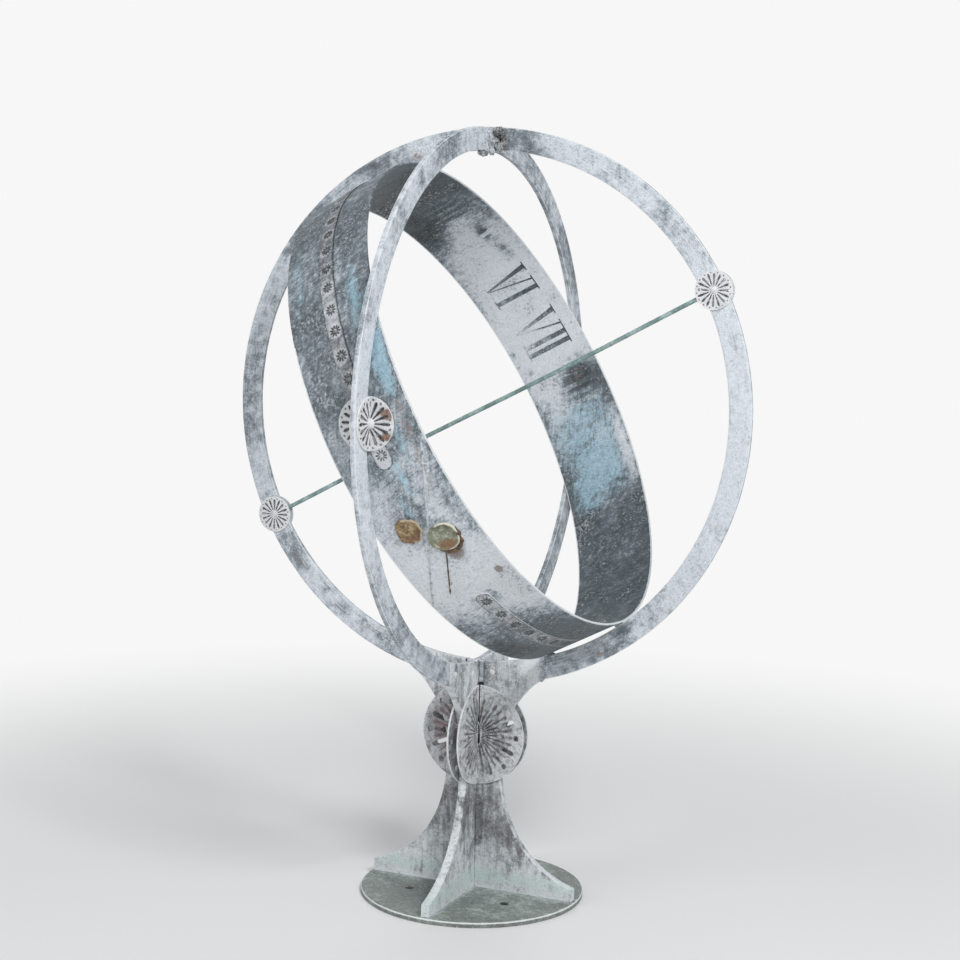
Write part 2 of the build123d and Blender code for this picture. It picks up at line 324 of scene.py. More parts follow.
class Weathering:
    """Builds the material of one patina, layer by layer."""

    def __init__(self, patina: Patina) -> None:
        """Lay out the noise fields that the layers share.

        Args:
            patina: The finish to build.
        """
        self.patina = patina
        self.graph = Graph(patina.name)
        graph = self.graph
        self.tone = graph.tree.nodes.new("ShaderNodeAttribute")
        self.tone.attribute_name = "tone"
        self.parts = graph.tree.nodes.new("ShaderNodeSeparateColor")
        graph.join(self.tone.outputs["Color"], self.parts.inputs["Color"])
        place = graph.tree.nodes.new("ShaderNodeTexCoord").outputs["Object"]
        self.place = place
        self.broad = graph.noise(place, patina.patch, 3.0, 0.5, 0.3)
        self.flecks = graph.noise(place, patina.fleck, 8.0, 0.68, 0.2)
        self.grain = graph.noise(place, patina.grain, 3.0, 0.7)
        beside = graph.mapping(place, (1, 1, 1), 0, (3.1, 1.7, 0.4))
        self.mottle = graph.noise(beside, patina.fleck * 0.45, 6.0, 0.7, 0.6)
        tall, wide = patina.drip_size
        self.drips = graph.noise(graph.mapping(place, (1 / wide, 1 / wide, 1 / tall)), 1.0, 5.0, 0.62, 0.7)
        behind = graph.mapping(place, (1, 1, 1), 0, (0.7, 0.2, 0.9))
        self.fine = graph.noise(behind, patina.speck, 6.0, 0.78)

    def streaks(self) -> bpy.types.NodeSocket:
        """Return a field of long thin streaks along the piece's own length."""
        length, width = self.patina.streak_size
        surface = self.graph.tree.nodes.new("ShaderNodeUVMap")
        surface.uv_map = "surface"
        rotated = self.graph.mapping(surface.outputs["UV"], (1, 1, 1), self.patina.streak_turn)
        stretched = self.graph.mapping(rotated, (1 / length, 1 / width, 1))
        return self.graph.noise(stretched, 1.0, 5.0, 0.6, 0.4)

    def level(self) -> bpy.types.NodeSocket:
        """Return how pale the metal is: the painted tone, broken up by all the noises."""
        graph, contrast = self.graph, self.patina.contrast
        level = graph.plus(self.parts.outputs["Red"], graph.spread(self.broad, 0.9 * contrast),
                           graph.spread(self.flecks, 0.95 * contrast),
                           graph.spread(self.grain, 0.45 * contrast))
        if self.patina.streak is Streak.ALONG:
            level = graph.plus(level, graph.spread(self.streaks(), self.patina.streak_share * contrast))
        return graph.plus(level, graph.spread(self.drips, self.patina.drip_share * contrast))

    def metal(self, level: bpy.types.NodeSocket) -> bpy.types.NodeSocket:
        """Return the colour of the dark to white patina, with its dust and specks.

        Args:
            level: How pale the metal is.

        Returns:
            The colour.
        """
        graph, patina = self.graph, self.patina
        halfway = tuple(0.55 * a + 0.45 * b for a, b in zip(patina.slate, patina.pale))
        colour = graph.ramp(level, ((0.05, patina.dark), (0.36, patina.slate), (0.50, halfway),
                                    (0.58, patina.pale), (0.82, patina.bloom)))
        dusting = graph.step(graph.plus(level, graph.spread(self.mottle, 1.2)), 0.62, 0.8)
        colour = graph.mix(graph.times(dusting, 0.45), colour, patina.bloom)
        wear_and_groove_shade = graph.plus(graph.spread(self.broad, 0.5), graph.spread(self.mottle, 0.5))
        covered = graph.step(graph.plus(self.fine, wear_and_groove_shade), 0.585, 0.65)
        speck = tuple(0.7 * c for c in patina.slate)
        colour = graph.mix(graph.times(covered, patina.speckle), colour, speck)
        bright = graph.step(graph.math("SUBTRACT", self.fine, wear_and_groove_shade), 0.585, 0.68)
        colour = graph.mix(graph.times(bright, 0.75 * patina.speckle), colour, patina.bloom)
        shade = graph.ramp(self.fine, ((0.3, (0.66, 0.67, 0.69)), (0.62, (1.0, 1.0, 1.0))))
        return graph.mix(1.0, colour, shade, "MULTIPLY")

    def crusted(self, colour: bpy.types.NodeSocket) -> bpy.types.NodeSocket:
        """Lay the painted green crust and the bare brown metal over a colour.

        Args:
            colour: The colour below.

        Returns:
            The colour with both.
        """
        graph, patina = self.graph, self.patina
        green = graph.plus(self.parts.outputs["Green"], graph.spread(self.mottle, 0.8),
                           graph.spread(self.drips, 0.6), graph.spread(self.flecks, 0.6))
        green = graph.step(green, 0.32, 0.72)
        crust = graph.ramp(graph.plus(self.grain, graph.spread(self.mottle, 0.6)), (
            (0.3, tuple(0.72 * c for c in patina.verdigris)),
            (0.7, tuple(min(1.0, 1.25 * c) for c in patina.verdigris)),
        ))
        colour = graph.mix(graph.times(green, 0.72), colour, crust)
        brown = graph.plus(self.parts.outputs["Blue"], graph.spread(self.flecks, 1.1),
                           graph.spread(self.mottle, 0.5))
        brown = graph.step(brown, 0.45, 0.68)
        bare = graph.mix(graph.step(self.mottle, 0.45, 0.6), patina.brown, patina.rust)
        return graph.mix(graph.times(brown, 0.8), colour, bare)

    def material(self) -> bpy.types.Material:
        """Join the layers, the pits and the pale edges, partly wear and partly painted highlight, into the
        finished material.
        """
        graph, patina = self.graph, self.patina
        level = self.level()
        colour = self.crusted(self.metal(level))
        holes = graph.step(graph.cells(self.place, patina.fleck * 0.38), 0.16, 0.34)
        pocks = graph.times(graph.math("SUBTRACT", 1.0, holes), graph.step(self.broad, 0.46, 0.6))
        pocks = graph.times(pocks, patina.pits)
        colour = graph.mix(pocks, colour, patina.dark)
        rim = graph.step(graph.plus(self.tone.outputs["Alpha"], graph.spread(self.flecks, 0.7)), 0.55, 0.8)
        colour = graph.mix(graph.times(rim, 0.85), colour, patina.edge)
        graph.join(colour, graph.shader.inputs["Base Color"])

        low, high = patina.roughness
        rough = graph.plus(low, graph.times(graph.step(level, 0.2, 0.7), high - low))
        graph.join(rough, graph.shader.inputs["Roughness"])
        height = graph.plus(graph.spread(self.flecks, 0.8), graph.spread(self.fine, 0.9))
        height = graph.math("SUBTRACT", height, graph.times(pocks, 0.6))
        graph.bump(height, patina.relief, 0.8)
        return graph.material


@lru_cache(maxsize=None)
def material_of(patina: Patina) -> bpy.types.Material:
    """Return a patina's material, made on first use."""
    return Weathering(patina).material()


class Palette:
    """The finishes of the armillary sphere."""

    HOOP = Patina("hoop_patina", streak=Streak.ALONG, streak_size=(30.0, 1.6), contrast=0.95,
                  slate=(0.16, 0.19, 0.215), pale=(0.47, 0.52, 0.56), bloom=(0.80, 0.84, 0.89),
                  drip_share=0.15, speckle=0.45)
    BAND = Patina("band_patina", streak=Streak.ALONG, streak_size=(20.0, 1.5),
                  streak_turn=math.radians(80), contrast=0.75, streak_share=0.6, patch=34.0, fleck=7.0,
                  drip_share=0.7, drip_size=(55.0, 4.5), bloom=(0.78, 0.815, 0.85),
                  brown=(0.21, 0.17, 0.17), rust=(0.24, 0.15, 0.12))
    STRAP = Patina("strap_patina", contrast=0.75, patch=30.0, fleck=5.0, slate=(0.125, 0.145, 0.155),
                   pale=(0.42, 0.43, 0.45), streak=Streak.ALONG, streak_size=(14.0, 1.4),
                   streak_turn=math.radians(80), streak_share=0.5, bloom=(0.76, 0.78, 0.80))
    SOLDER = Patina("solder_crust", contrast=1.5, patch=14.0, fleck=4.0, pits=0.9, relief=0.6,
                    pale=(0.50, 0.52, 0.53), slate=(0.20, 0.20, 0.20))
    GREEN_PAD = Patina("green_pad_crust", contrast=1.3, patch=12.0, fleck=4.5, relief=0.7, pits=0.6,
                       dark=(0.09, 0.07, 0.05), slate=(0.20, 0.21, 0.14), pale=(0.34, 0.37, 0.27),
                       bloom=(0.60, 0.58, 0.44), brown=(0.20, 0.10, 0.05), rust=(0.33, 0.19, 0.08),
                       edge=(0.72, 0.70, 0.58), speckle=0.3)
    GOLD_PAD = Patina("gold_pad_crust", contrast=1.4, patch=10.0, fleck=4.0, relief=0.8, pits=0.8,
                      dark=(0.08, 0.045, 0.022), slate=(0.22, 0.14, 0.065), pale=(0.42, 0.29, 0.14),
                      bloom=(0.58, 0.48, 0.33), edge=(0.5, 0.42, 0.3), speckle=0.3)
    ROSETTE = Patina("rosette_patina", contrast=0.7, patch=20.0, fleck=4.0, dark=(0.018, 0.018, 0.02),
                     slate=(0.13, 0.125, 0.13), pale=(0.50, 0.50, 0.51), bloom=(0.84, 0.85, 0.86),
                     relief=0.25, edge=(0.86, 0.86, 0.84), drip_share=0.15, speck=2.0, speckle=0.35)
    MEDALLION = Patina("medallion_patina", contrast=1.1, patch=26.0, fleck=5.0, slate=(0.17, 0.17, 0.175),
                       pale=(0.46, 0.47, 0.48), bloom=(0.78, 0.80, 0.81), brown=(0.26, 0.185, 0.195),
                       rust=(0.20, 0.13, 0.135), verdigris=(0.55, 0.68, 0.64), drip_share=0.3, speck=2.5)
    PEDESTAL = Patina("pedestal_patina", contrast=1.0, patch=40.0, slate=(0.20, 0.20, 0.21),
                      pale=(0.50, 0.53, 0.55), bloom=(0.80, 0.83, 0.85), verdigris=(0.56, 0.70, 0.66),
                      brown=(0.23, 0.185, 0.19), rust=(0.17, 0.135, 0.135), drip_share=0.8,
                      drip_size=(60.0, 8.0))
    BASE = Patina("base_patina", contrast=0.9, patch=30.0, fleck=7.0, dark=(0.09, 0.10, 0.095),
                  slate=(0.20, 0.225, 0.21), pale=(0.38, 0.43, 0.40), bloom=(0.66, 0.71, 0.69),
                  verdigris=(0.42, 0.54, 0.49), drip_share=0.0, edge=(0.80, 0.84, 0.83))
    ROD = Patina("rod_verdigris_patina", contrast=1.2, patch=25.0, fleck=6.0, dark=(0.12, 0.16, 0.155),
                 slate=(0.19, 0.29, 0.28), pale=(0.31, 0.46, 0.44), bloom=(0.50, 0.61, 0.60),
                 edge=(0.5, 0.6, 0.58), speckle=0.2)


def numbers(points: Iterable[Sequence[float]]) -> np.ndarray:
    """Return points as a numpy array of rows."""
    return np.array([tuple(point) for point in points], float)


def stained(places: np.ndarray, stains: Sequence[Stain], base: Triple) -> np.ndarray:
    """Work out the tone at each place from a base tone and local stains.

    Args:
        places: One row of coordinates for each vertex, in the stains' own units.
        stains: The local changes.
        base: The paleness, green and brown where there is no stain.

    Returns:
        One row of paleness, green, brown and edge for each vertex, with no edge yet.
    """
    tone = np.zeros((len(places), 4))
    tone[:, :3] = base
    for stain in stains:
        far = np.zeros(len(places))
        for axis, (middle, reach) in enumerate(zip(stain.place, stain.reach)):
            far += ((places[:, axis] - middle) / reach) ** 2
        share = np.exp(-far**1.5)
        tone[:, :3] += share[:, None] * np.array([stain.pale, stain.green, stain.brown])
    return tone


def roughen(mesh: bmesh.types.BMesh, size: float, amount: float, seed: float = 0.0) -> None:
    """Push each vertex along its normal by smooth noise, always inwards.

    Args:
        mesh: The mesh to change.
        size: The width of a bump, in millimetres.
        amount: The deepest dent, in millimetres.
        seed: Shifts the noise, so that like pieces differ.
    """
    mesh.normal_update()
    shift = Vector((seed, -seed, seed / 2))
    moves = []
    for vertex in mesh.verts:
        lump = noise.fractal(vertex.co / size + shift, 0.9, 2.1, 3)
        moves.append(vertex.normal * (amount * (min(lump, 1.0) - 1.0) / 2))
    for vertex, move in zip(mesh.verts, moves):
        vertex.co += move


def sweep(mesh: bmesh.types.BMesh, angle: float, steps: int) -> None:
    """Sweep all the mesh's edges round the z axis into faces, joined up after a full turn."""
    bmesh.ops.spin(mesh, geom=mesh.verts[:] + mesh.edges[:], cent=(0, 0, 0), axis=(0, 0, 1),
                   dvec=(0, 0, 0), angle=angle, steps=steps, use_merge=angle > FULL_TURN - WELD)


def lathe(mesh: bmesh.types.BMesh, outline: Sequence[Pair], steps: int) -> None:
    """Turn an outline round the z axis into a closed solid.

    Args:
        mesh: The empty mesh to draw it in.
        outline: Its radius and height pairs.
        steps: The number of faces in a turn.
    """
    verts = [mesh.verts.new((radius, 0, height)) for radius, height in outline]
    for pair in zip(verts, verts[1:]):
        mesh.edges.new(pair)
    sweep(mesh, FULL_TURN, steps)
    bmesh.ops.remove_doubles(mesh, verts=mesh.verts[:], dist=WELD)
    bmesh.ops.recalc_face_normals(mesh, faces=mesh.faces[:])


def divided(points: Sequence[Pair], step: float) -> List[Pair]:
    """Add points to a polyline, so that none of its runs is longer than a step.

    Args:
        points: The polyline.
        step: The longest run.

    Returns:
        The finer polyline.
    """
    fine = [points[0]]
    for (x0, y0), (x1, y1) in zip(points, points[1:]):
        count = max(1, math.ceil(math.hypot(x1 - x0, y1 - y0) / step))
        for index in range(1, count + 1):
            share = index / count
            fine.append((x0 + share * (x1 - x0), y0 + share * (y1 - y0)))
    return fine


def thicken(mesh: bmesh.types.BMesh, faces: Sequence[bmesh.types.BMFace], rise: float) -> None:
    """Extrude flat faces along z into a closed solid."""
    raised = bmesh.ops.extrude_face_region(mesh, geom=faces)["geom"]
    verts = [item for item in raised if isinstance(item, bmesh.types.BMVert)]
    bmesh.ops.translate(mesh, verts=verts, vec=(0, 0, rise))


def prism(mesh: bmesh.types.BMesh, outline: Sequence[Pair], low: float, high: float) -> None:
    """Add a closed prism with a flat outline between two heights."""
    thicken(mesh, [mesh.faces.new([mesh.verts.new((x, y, low)) for x, y in outline])], high - low)


def as_mesh(mesh: bmesh.types.BMesh, name: str) -> bpy.types.Mesh:
    """Turn a bmesh into mesh data and free it."""
    data = bpy.data.meshes.new(name)
    mesh.to_mesh(data)
    mesh.free()
    return data


def join_in(whole: bmesh.types.BMesh, part: bmesh.types.BMesh) -> None:
    """Add one bmesh to another, with its faces turned outwards, and free it."""
    bmesh.ops.recalc_face_normals(part, faces=part.faces[:])
    data = as_mesh(part, "part")
    whole.from_mesh(data)
    bpy.data.meshes.remove(data)


def carve(body: bmesh.types.BMesh, cutter: bmesh.types.BMesh,
          overlapping: bool = False) -> bmesh.types.BMesh:
    """Subtract one closed solid from another.

    Args:
        body: The solid to cut, freed here.
        cutter: The solid to take away, freed here.
        overlapping: Whether the cutter's own parts run into each other.

    Returns:
        A new bmesh of what is left.
    """
    bmesh.ops.recalc_face_normals(cutter, faces=cutter.faces[:])
    blank = bpy.data.objects.new("blank", as_mesh(body, "blank"))
    tool = bpy.data.objects.new("tool", as_mesh(cutter, "tool"))
    for item in (blank, tool):
        bpy.context.scene.collection.objects.link(item)
    cut = blank.modifiers.new("cut", "BOOLEAN")
    cut.object = tool
    cut.operation = "DIFFERENCE"
    cut.solver = "EXACT"
    cut.use_self = overlapping
    result = bmesh.new()
    graph = bpy.context.evaluated_depsgraph_get()
    result.from_object(blank, graph)
    for item in (blank, tool):
        data = item.data
        bpy.data.objects.remove(item)
        bpy.data.meshes.remove(data)
    return result


def capsule(length: float, width: float, turn: float, reach: float, arc_points: int = 7) -> List[Pair]:
    """Draw a round-ended slot that lies along a radius.

    Args:
        length: Its whole length.
        width: Its width.
        turn: The direction of the radius.
        reach: How far out its middle is.
        arc_points: The number of points on each round end.

    Returns:
        The outline.
    """
    half = (length - width) / 2
    outline = []
    for side in (1, -1):
        for index in range(arc_points):
            angle = -side * QUARTER_TURN + HALF_TURN * index / (arc_points - 1)
            outline.append((side * half + width / 2 * math.cos(angle), width / 2 * math.sin(angle)))
    return [turned(x + reach, y, turn) for x, y in outline]


def turned(x: float, y: float, turn: float) -> Pair:
    """Return a flat point turned about the origin."""
    return x * math.cos(turn) - y * math.sin(turn), x * math.sin(turn) + y * math.cos(turn)


def rivet(half_outline: List[Pair], steps: int, place: Callable[[Vector], Vector]) -> bmesh.types.BMesh:
    """Turn a rivet that is alike at both ends.

    Args:
        half_outline: The radius and height pairs of its upper half, from the top down.
        steps: The number of faces in a turn.
        place: Sends a point of the upright rivet to its place.

    Returns:
        The rivet in its place.
    """
    mesh = bmesh.new()
    lathe(mesh, half_outline + [(radius, -height) for radius, height in reversed(half_outline)], steps)
    for vertex in mesh.verts:
        vertex.co = place(vertex.co)
    return mesh


class Piece:
    """One visible piece while it is being made."""

    def __init__(self, name: str, mesh: bmesh.types.BMesh) -> None:
        """Take over a bmesh, in millimetres, under the piece's name."""
        self.name = name
        self.mesh = mesh
        self.tone = np.zeros((len(mesh.verts), 4))
        self.surface: Optional[np.ndarray] = None

    def points(self) -> np.ndarray:
        """Return the vertices' places as rows."""
        return numbers(vertex.co for vertex in self.mesh.verts)

    def paint(self, tone: Triple) -> None:
        """Give the whole piece one tone."""
        self.tone[:, :3] = tone

    def move(self, place: Callable[[Vector], Vector]) -> None:
        """Send each vertex to a new place."""
        for vertex in self.mesh.verts:
            vertex.co = place(vertex.co)

    def finish(self, patina: Patina, stands_for: Sequence[str],
               sharp: float = 38.0, body: Body = Body.SPHERE) -> None:
        """Make the Blender object, dress it and fix it to its body.

        Args:
            patina: The finish.
            stands_for: The CAD nodes that it replaces.
            sharp: The angle between faces, in degrees, from which an edge stays sharp.
            body: The body that it rides on.
        """
        bmesh.ops.transform(self.mesh, matrix=Matrix.Scale(MM, 4), verts=self.mesh.verts[:])
        data = as_mesh(self.mesh, self.name)
        data.materials.append(material_of(patina))
        data.polygons.foreach_set("use_smooth", np.ones(len(data.polygons), bool))
        data.set_sharp_from_angle(angle=math.radians(sharp))
        attribute = data.attributes.new("tone", "FLOAT_COLOR", "POINT")
        attribute.data.foreach_set("color", np.clip(self.tone, 0, 1).astype(np.float32).ravel())
        if self.surface is not None:
            layer = data.uv_layers.new(name="surface")
            corner = np.zeros(len(data.loops), np.int32)
            data.loops.foreach_get("vertex_index", corner)
            layer.data.foreach_set("uv", (self.surface[corner] * MM).astype(np.float32).ravel())
        made = bpy.data.objects.new(self.name, data)
        bpy.context.scene.collection.objects.link(made)
        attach(made, body.value)
        if stands_for:
            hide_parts(*stands_for)
        LOG.info("%s: %d vertices, %d faces", self.name, len(data.vertices), len(data.polygons))


@dataclass
class Hoop:
    """One flat bar bent to a circle, or to part of one, and stood on its edge."""

    name: str
    node: str
    across: Vector
    start: float
    turn: float
    stains: Sequence[Stain] = ()
    base: Triple = (0.6, 0.05, 0.0)
    corner: float = 0.9
    cell: float = 2.6
    steps_per_turn: int = 480
    seed: float = 0.0
    broad_dent: float = 22.0
    fine_dent: float = 5.0
    arris_glow: float = 1.6
    off_face: float = 40.0  # a place across the bar that no stain reaches

    def section(self) -> List[Pair]:
        """Return the bar's section as a closed line with rounded corners."""
        half_width = BAR_WIDTH / 2 - SKIN / 2 - self.corner
        half_depth = BAR_THICKNESS / 2 - SKIN / 4 - self.corner
        points = []
        for index, (x, y) in enumerate(((1, 1), (-1, 1), (-1, -1), (1, -1))):
            for step in range(3):
                angle = QUARTER_TURN * (index + step / 2)
                points.append((RING_MIDDLE + x * half_width + self.corner * math.cos(angle),
                               y * half_depth + self.corner * math.sin(angle)))
        return divided(points + points[:1], self.cell)[:-1]

    def bar(self) -> bmesh.types.BMesh:
        """Spin the section round into a closed bar that lies flat."""
        mesh = bmesh.new()
        loop = [mesh.verts.new((x, 0, z)) for x, z in self.section()]
        for first, second in zip(loop, loop[1:] + loop[:1]):
            mesh.edges.new((first, second))
        bmesh.ops.rotate(mesh, verts=loop, cent=(0, 0, 0), matrix=Matrix.Rotation(self.start, 3, "Z"))
        sweep(mesh, self.turn, round(self.steps_per_turn * self.turn / FULL_TURN))
        if self.turn < FULL_TURN - WELD:
            bmesh.ops.holes_fill(mesh, edges=[edge for edge in mesh.edges if edge.is_boundary], sides=0)
        bmesh.ops.recalc_face_normals(mesh, faces=mesh.faces[:])
        return mesh

    def build(self) -> None:
        """Bend the bar, dress it and stand it up."""
        mesh = self.bar()
        piece = Piece(self.name, mesh)
        flat = piece.points()
        roughen(mesh, self.broad_dent, SKIN, self.seed)
        roughen(mesh, self.fine_dent, SKIN / 2, self.seed + 3)
        radius = np.hypot(flat[:, 0], flat[:, 1])
        angle = np.degrees(np.arctan2(flat[:, 1], flat[:, 0]))
        piece.surface = np.stack([np.radians(angle) * RING_MIDDLE, radius - RING_MIDDLE + flat[:, 2]], 1)
        on_face = abs(flat[:, 2]) > BAR_THICKNESS / 2 - 1
        across = np.where(on_face, radius - RING_MIDDLE, self.off_face)
        side = np.where(flat[:, 2] > 0, 1.0, -1.0)
        piece.tone = stained(np.stack([angle, across, side], 1), self.stains, self.base)
        inside = np.minimum(radius - RING_INNER, RING_OUTER - radius)
        face = BAR_THICKNESS / 2 - abs(flat[:, 2])
        piece.tone[:, 3] = np.exp(-(inside**2 + face**2) / self.arris_glow)
        sideways = self.across.cross(UP)
        piece.move(lambda co: CENTRE + self.across * co.x + UP * co.y + sideways * co.z)
        piece.finish(Palette.HOOP, [self.node])


def on_band(angle: float, along: float, radius: float) -> Vector:
    """Return a point by its angle round the band, its offset along the axis and its radius."""
    return CENTRE + LOWEST * (radius * math.cos(angle)) + WEST * (radius * math.sin(angle)) + POLAR * along


@dataclass
class DialBand:
    """The broad equatorial band, with the hours cut into its inner face."""

    columns: int = 576
    rows: int = 30
    hour_pitch: float = 15.0
    six_angle: float = 123.5
    numeral_height: float = 60.0
    numeral_middle: float = 2.5
    serif: float = 1.8
    clear_depth: float = 0.7
    faint_depth: float = 0.12
    bar_step: float = 0.013  # the bars and letters are cut to slightly different depths,
    letter_step: float = 0.003  # so that no two floors of the cut lie in one plane
    clear_hours: Tuple[int, int] = (6, 7)
    outer_base: Triple = (0.47, 0.12, 0.06)
    inner_base: Triple = (0.30, 0.04, 0.0)

    OUTER = (
        Stain((-132, 0), (32, 60), pale=-0.04, green=0.06),
        Stain((-112, 0), (24, 11), pale=0.10),
        Stain((-125, 12), (5, 6), pale=0.12),
        Stain((-112, 30), (11, 14), pale=0.05, green=0.25),
        Stain((-107, 43), (9, 6), pale=0.1, green=0.55),
        Stain((-98, 37), (7, 9), pale=0.1, green=0.6),
        Stain((-84, 24), (6, 7), green=0.45),
        Stain((-77, 8), (6, 5), green=0.48),
        Stain((-71, -5), (5, 5), green=0.40),
        Stain((-128, -36), (12, 8), green=0.3),
        Stain((-118, 28), (8, 8), green=0.28),
        Stain((-78, 10), (13, 50), pale=0.08),
        Stain((-90, 40), (8, 8), pale=-0.05, brown=0.40),
        Stain((-80, 34), (8, 8), pale=0.08, brown=0.40),
        Stain((-70, 26), (7, 10), pale=0.10, brown=0.36),
        Stain((-80, -32), (9, 20), pale=0.04, brown=0.22),
        Stain((-70, -20), (6, 12), pale=0.10, brown=0.25),
        Stain((-52, 0), (14, 60), pale=0.44, green=-0.1),
        Stain((-66, -40), (18, 18), pale=0.30),
        Stain((-40, 40), (14, 25), pale=0.28),
        Stain((-34, -3), (9, 8), pale=-0.12, brown=0.25),
        Stain((-44, 12), (2.5, 6), pale=-0.30),
        # Painted shade: the next three stains darken the outer face near the band's lowest point, on its
        # underside.
        Stain((-24, 30), (10, 25), pale=-0.22),
        Stain((-21, -36), (8, 18), pale=-0.30),
        Stain((-8, 0), (14, 70), pale=-0.22),
        Stain((-49.9, 36), (1.3, 5), pale=-0.3, brown=0.9),
        Stain((-58.5, 12), (3.2, 12), pale=-0.35, brown=0.7),
        Stain((-66, -14), (5.0, 22), pale=-0.18, brown=0.35),
        Stain((60, 0), (45, 60), pale=0.12, green=0.10),
        Stain((120, 10), (20, 30), pale=0.12),
    )
    INNER = (
        Stain((172, 0), (16, 70), pale=-0.12),
        Stain((128, 6), (25, 64), pale=0.62),
        Stain((150, -30), (8, 22), pale=-0.35),
        Stain((141, 20), (4, 8), pale=-0.45),
        Stain((133, 26), (4, 9), pale=-0.35),
        Stain((106, 0), (13, 80), pale=0.55),
        Stain((94, 18), (5, 24), pale=-0.55, brown=0.50),
        Stain((92, -30), (8, 22), pale=0.30),
        Stain((80, 0), (12, 60), pale=0.26, green=0.55),
        Stain((66, 5), (8, 44), pale=0.14, green=0.45),
        Stain((72, 42), (10, 8), pale=0.35, green=-0.2),
        Stain((62, -30), (7, 22), green=0.30),
        Stain((48, 0), (10, 70), pale=0.05, green=0.1),
        Stain((20, 0), (18, 60), pale=-0.02),
        Stain((-60, 0), (60, 60), pale=0.22, green=0.06),
        Stain((106.6, -43), (1.2, 4), pale=-0.35),
        Stain((100.5, -36), (1.2, 4), pale=-0.35),
    )

    def stroke(self, letter: str) -> Tuple[List[List[Pair]], float]:
        """Draw one letter, for a height of one hundred.

        Args:
            letter: I, V or X.

        Returns:
            The outlines of its strokes, and its width.
        """
        serif = self.serif * 100 / self.numeral_height
        if letter == "I":
            bars = [[(5, 0), (15, 0), (15, 100), (5, 100)]]
            feet = [(0, 20, 0), (0, 20, 100 - serif)]
            width = 18.0
        elif letter == "V":
            bars = [[(22, 0), (26, 0), (14, 100), (3, 100)], [(24, 0), (27, 0), (44, 100), (40, 100)]]
            feet = [(-2, 20, 100 - serif), (34, 50, 100 - serif)]
            width = 50.0
        else:
            bars = [[(34, 0), (45, 0), (15, 100), (4, 100)], [(4, 0), (8, 0), (43, 100), (39, 100)]]
            feet = [(-1, 21, 100 - serif), (32, 50, 100 - serif), (-2, 15, 0), (28, 50, 0)]
            width = 50.0
        for left, right, low in feet:
            bars.append([(left, low), (right, low), (right, low + serif), (left, low + serif)])
        return bars, width

    def numerals(self) -> bmesh.types.BMesh:
        """Build the cutters of all hours over the flat sheet."""
        hours = {4: "IIII", 5: "V", 6: "VI", 7: "VII", 8: "VIII", 9: "IX", 10: "X", 11: "XI", 12: "XII",
                 13: "I", 14: "II", 15: "III", 16: "IIII", 17: "V", 18: "VI", 19: "VII", 20: "VIII"}
        cutter = bmesh.new()
        scale = self.numeral_height / 100
        for hour, word in hours.items():
            angle = self.six_angle - (hour - 6) * self.hour_pitch
            middle = math.radians(angle) * BAND_OUTER
            pen = -sum(self.stroke(letter)[1] for letter in word) / 2
            depth = self.clear_depth if hour in self.clear_hours else self.faint_depth
            for order, letter in enumerate(word):
                bars, width = self.stroke(letter)
                for index, bar in enumerate(bars):
                    outline = [(middle - (pen + x) * scale, self.numeral_middle + (y - 50) * scale)
                               for x, y in bar]
                    sunk = depth - self.bar_step * index - self.letter_step * (order % 2)
                    prism(cutter, outline, -BAND_THICKNESS - 0.5, -BAND_THICKNESS + sunk)
                pen += width
        return cutter

    def sheet(self) -> bmesh.types.BMesh:
        """Draw the band flat, with the hours cut into it and its ends left open."""
        blank = bmesh.new()
        bmesh.ops.create_grid(blank, x_segments=self.columns, y_segments=self.rows, size=0.5)
        length = FULL_TURN * BAND_OUTER
        bmesh.ops.scale(blank, vec=(length, BAND_WIDTH, 1), verts=blank.verts[:])
        thicken(blank, blank.faces[:], -BAND_THICKNESS)
        bmesh.ops.recalc_face_normals(blank, faces=blank.faces[:])
        mesh = carve(blank, self.numerals(), True)
        limit = length / 2 - 0.01
        ends = [face for face in mesh.faces if all(abs(vertex.co.x) > limit for vertex in face.verts)]
        bmesh.ops.delete(mesh, geom=ends, context="FACES")
        return mesh

    def build(self) -> None:
        """Dress the flat sheet and roll it up."""
        piece = Piece("dial_band", self.sheet())
        flat = piece.points()
        angle = np.degrees(flat[:, 0] / BAND_OUTER)
        inner = flat[:, 2] < -BAND_THICKNESS / 2
        places = np.stack([angle, flat[:, 1]], 1)
        outer_tone = stained(places, self.OUTER, self.outer_base)
        inner_tone = stained(places, self.INNER, self.inner_base)
        piece.tone = np.where(inner[:, None], inner_tone, outer_tone)
        # The clear hours' cuts are painted darker: partly a dark deposit in the cuts, partly painted shade
        # that deepens towards the top of each letter.
        sunk = inner & (flat[:, 2] > -BAND_THICKNESS + self.faint_depth + 0.05)
        wear_and_groove_shade = 0.35 + 0.4 * np.clip((flat[:, 1] + 25) / 40, 0, 1)
        piece.tone[sunk, 0] -= wear_and_groove_shade[sunk]
        piece.tone[:, 3] = np.where(abs(flat[:, 1]) > BAND_WIDTH / 2 - 0.5, 1.0, 0.0)
        # Painted shade: the bright edges are dimmed past -112 degrees, where the band's edge lies in shade.
        piece.tone[:, 3] *= np.where(angle < -112, 0.3, 1.0)
        piece.surface = flat[:, :2].copy()
        piece.move(lambda co: on_band(co.x / BAND_OUTER, co.y, BAND_OUTER + co.z))
        piece.finish(Palette.BAND, ["equatorial_band"])


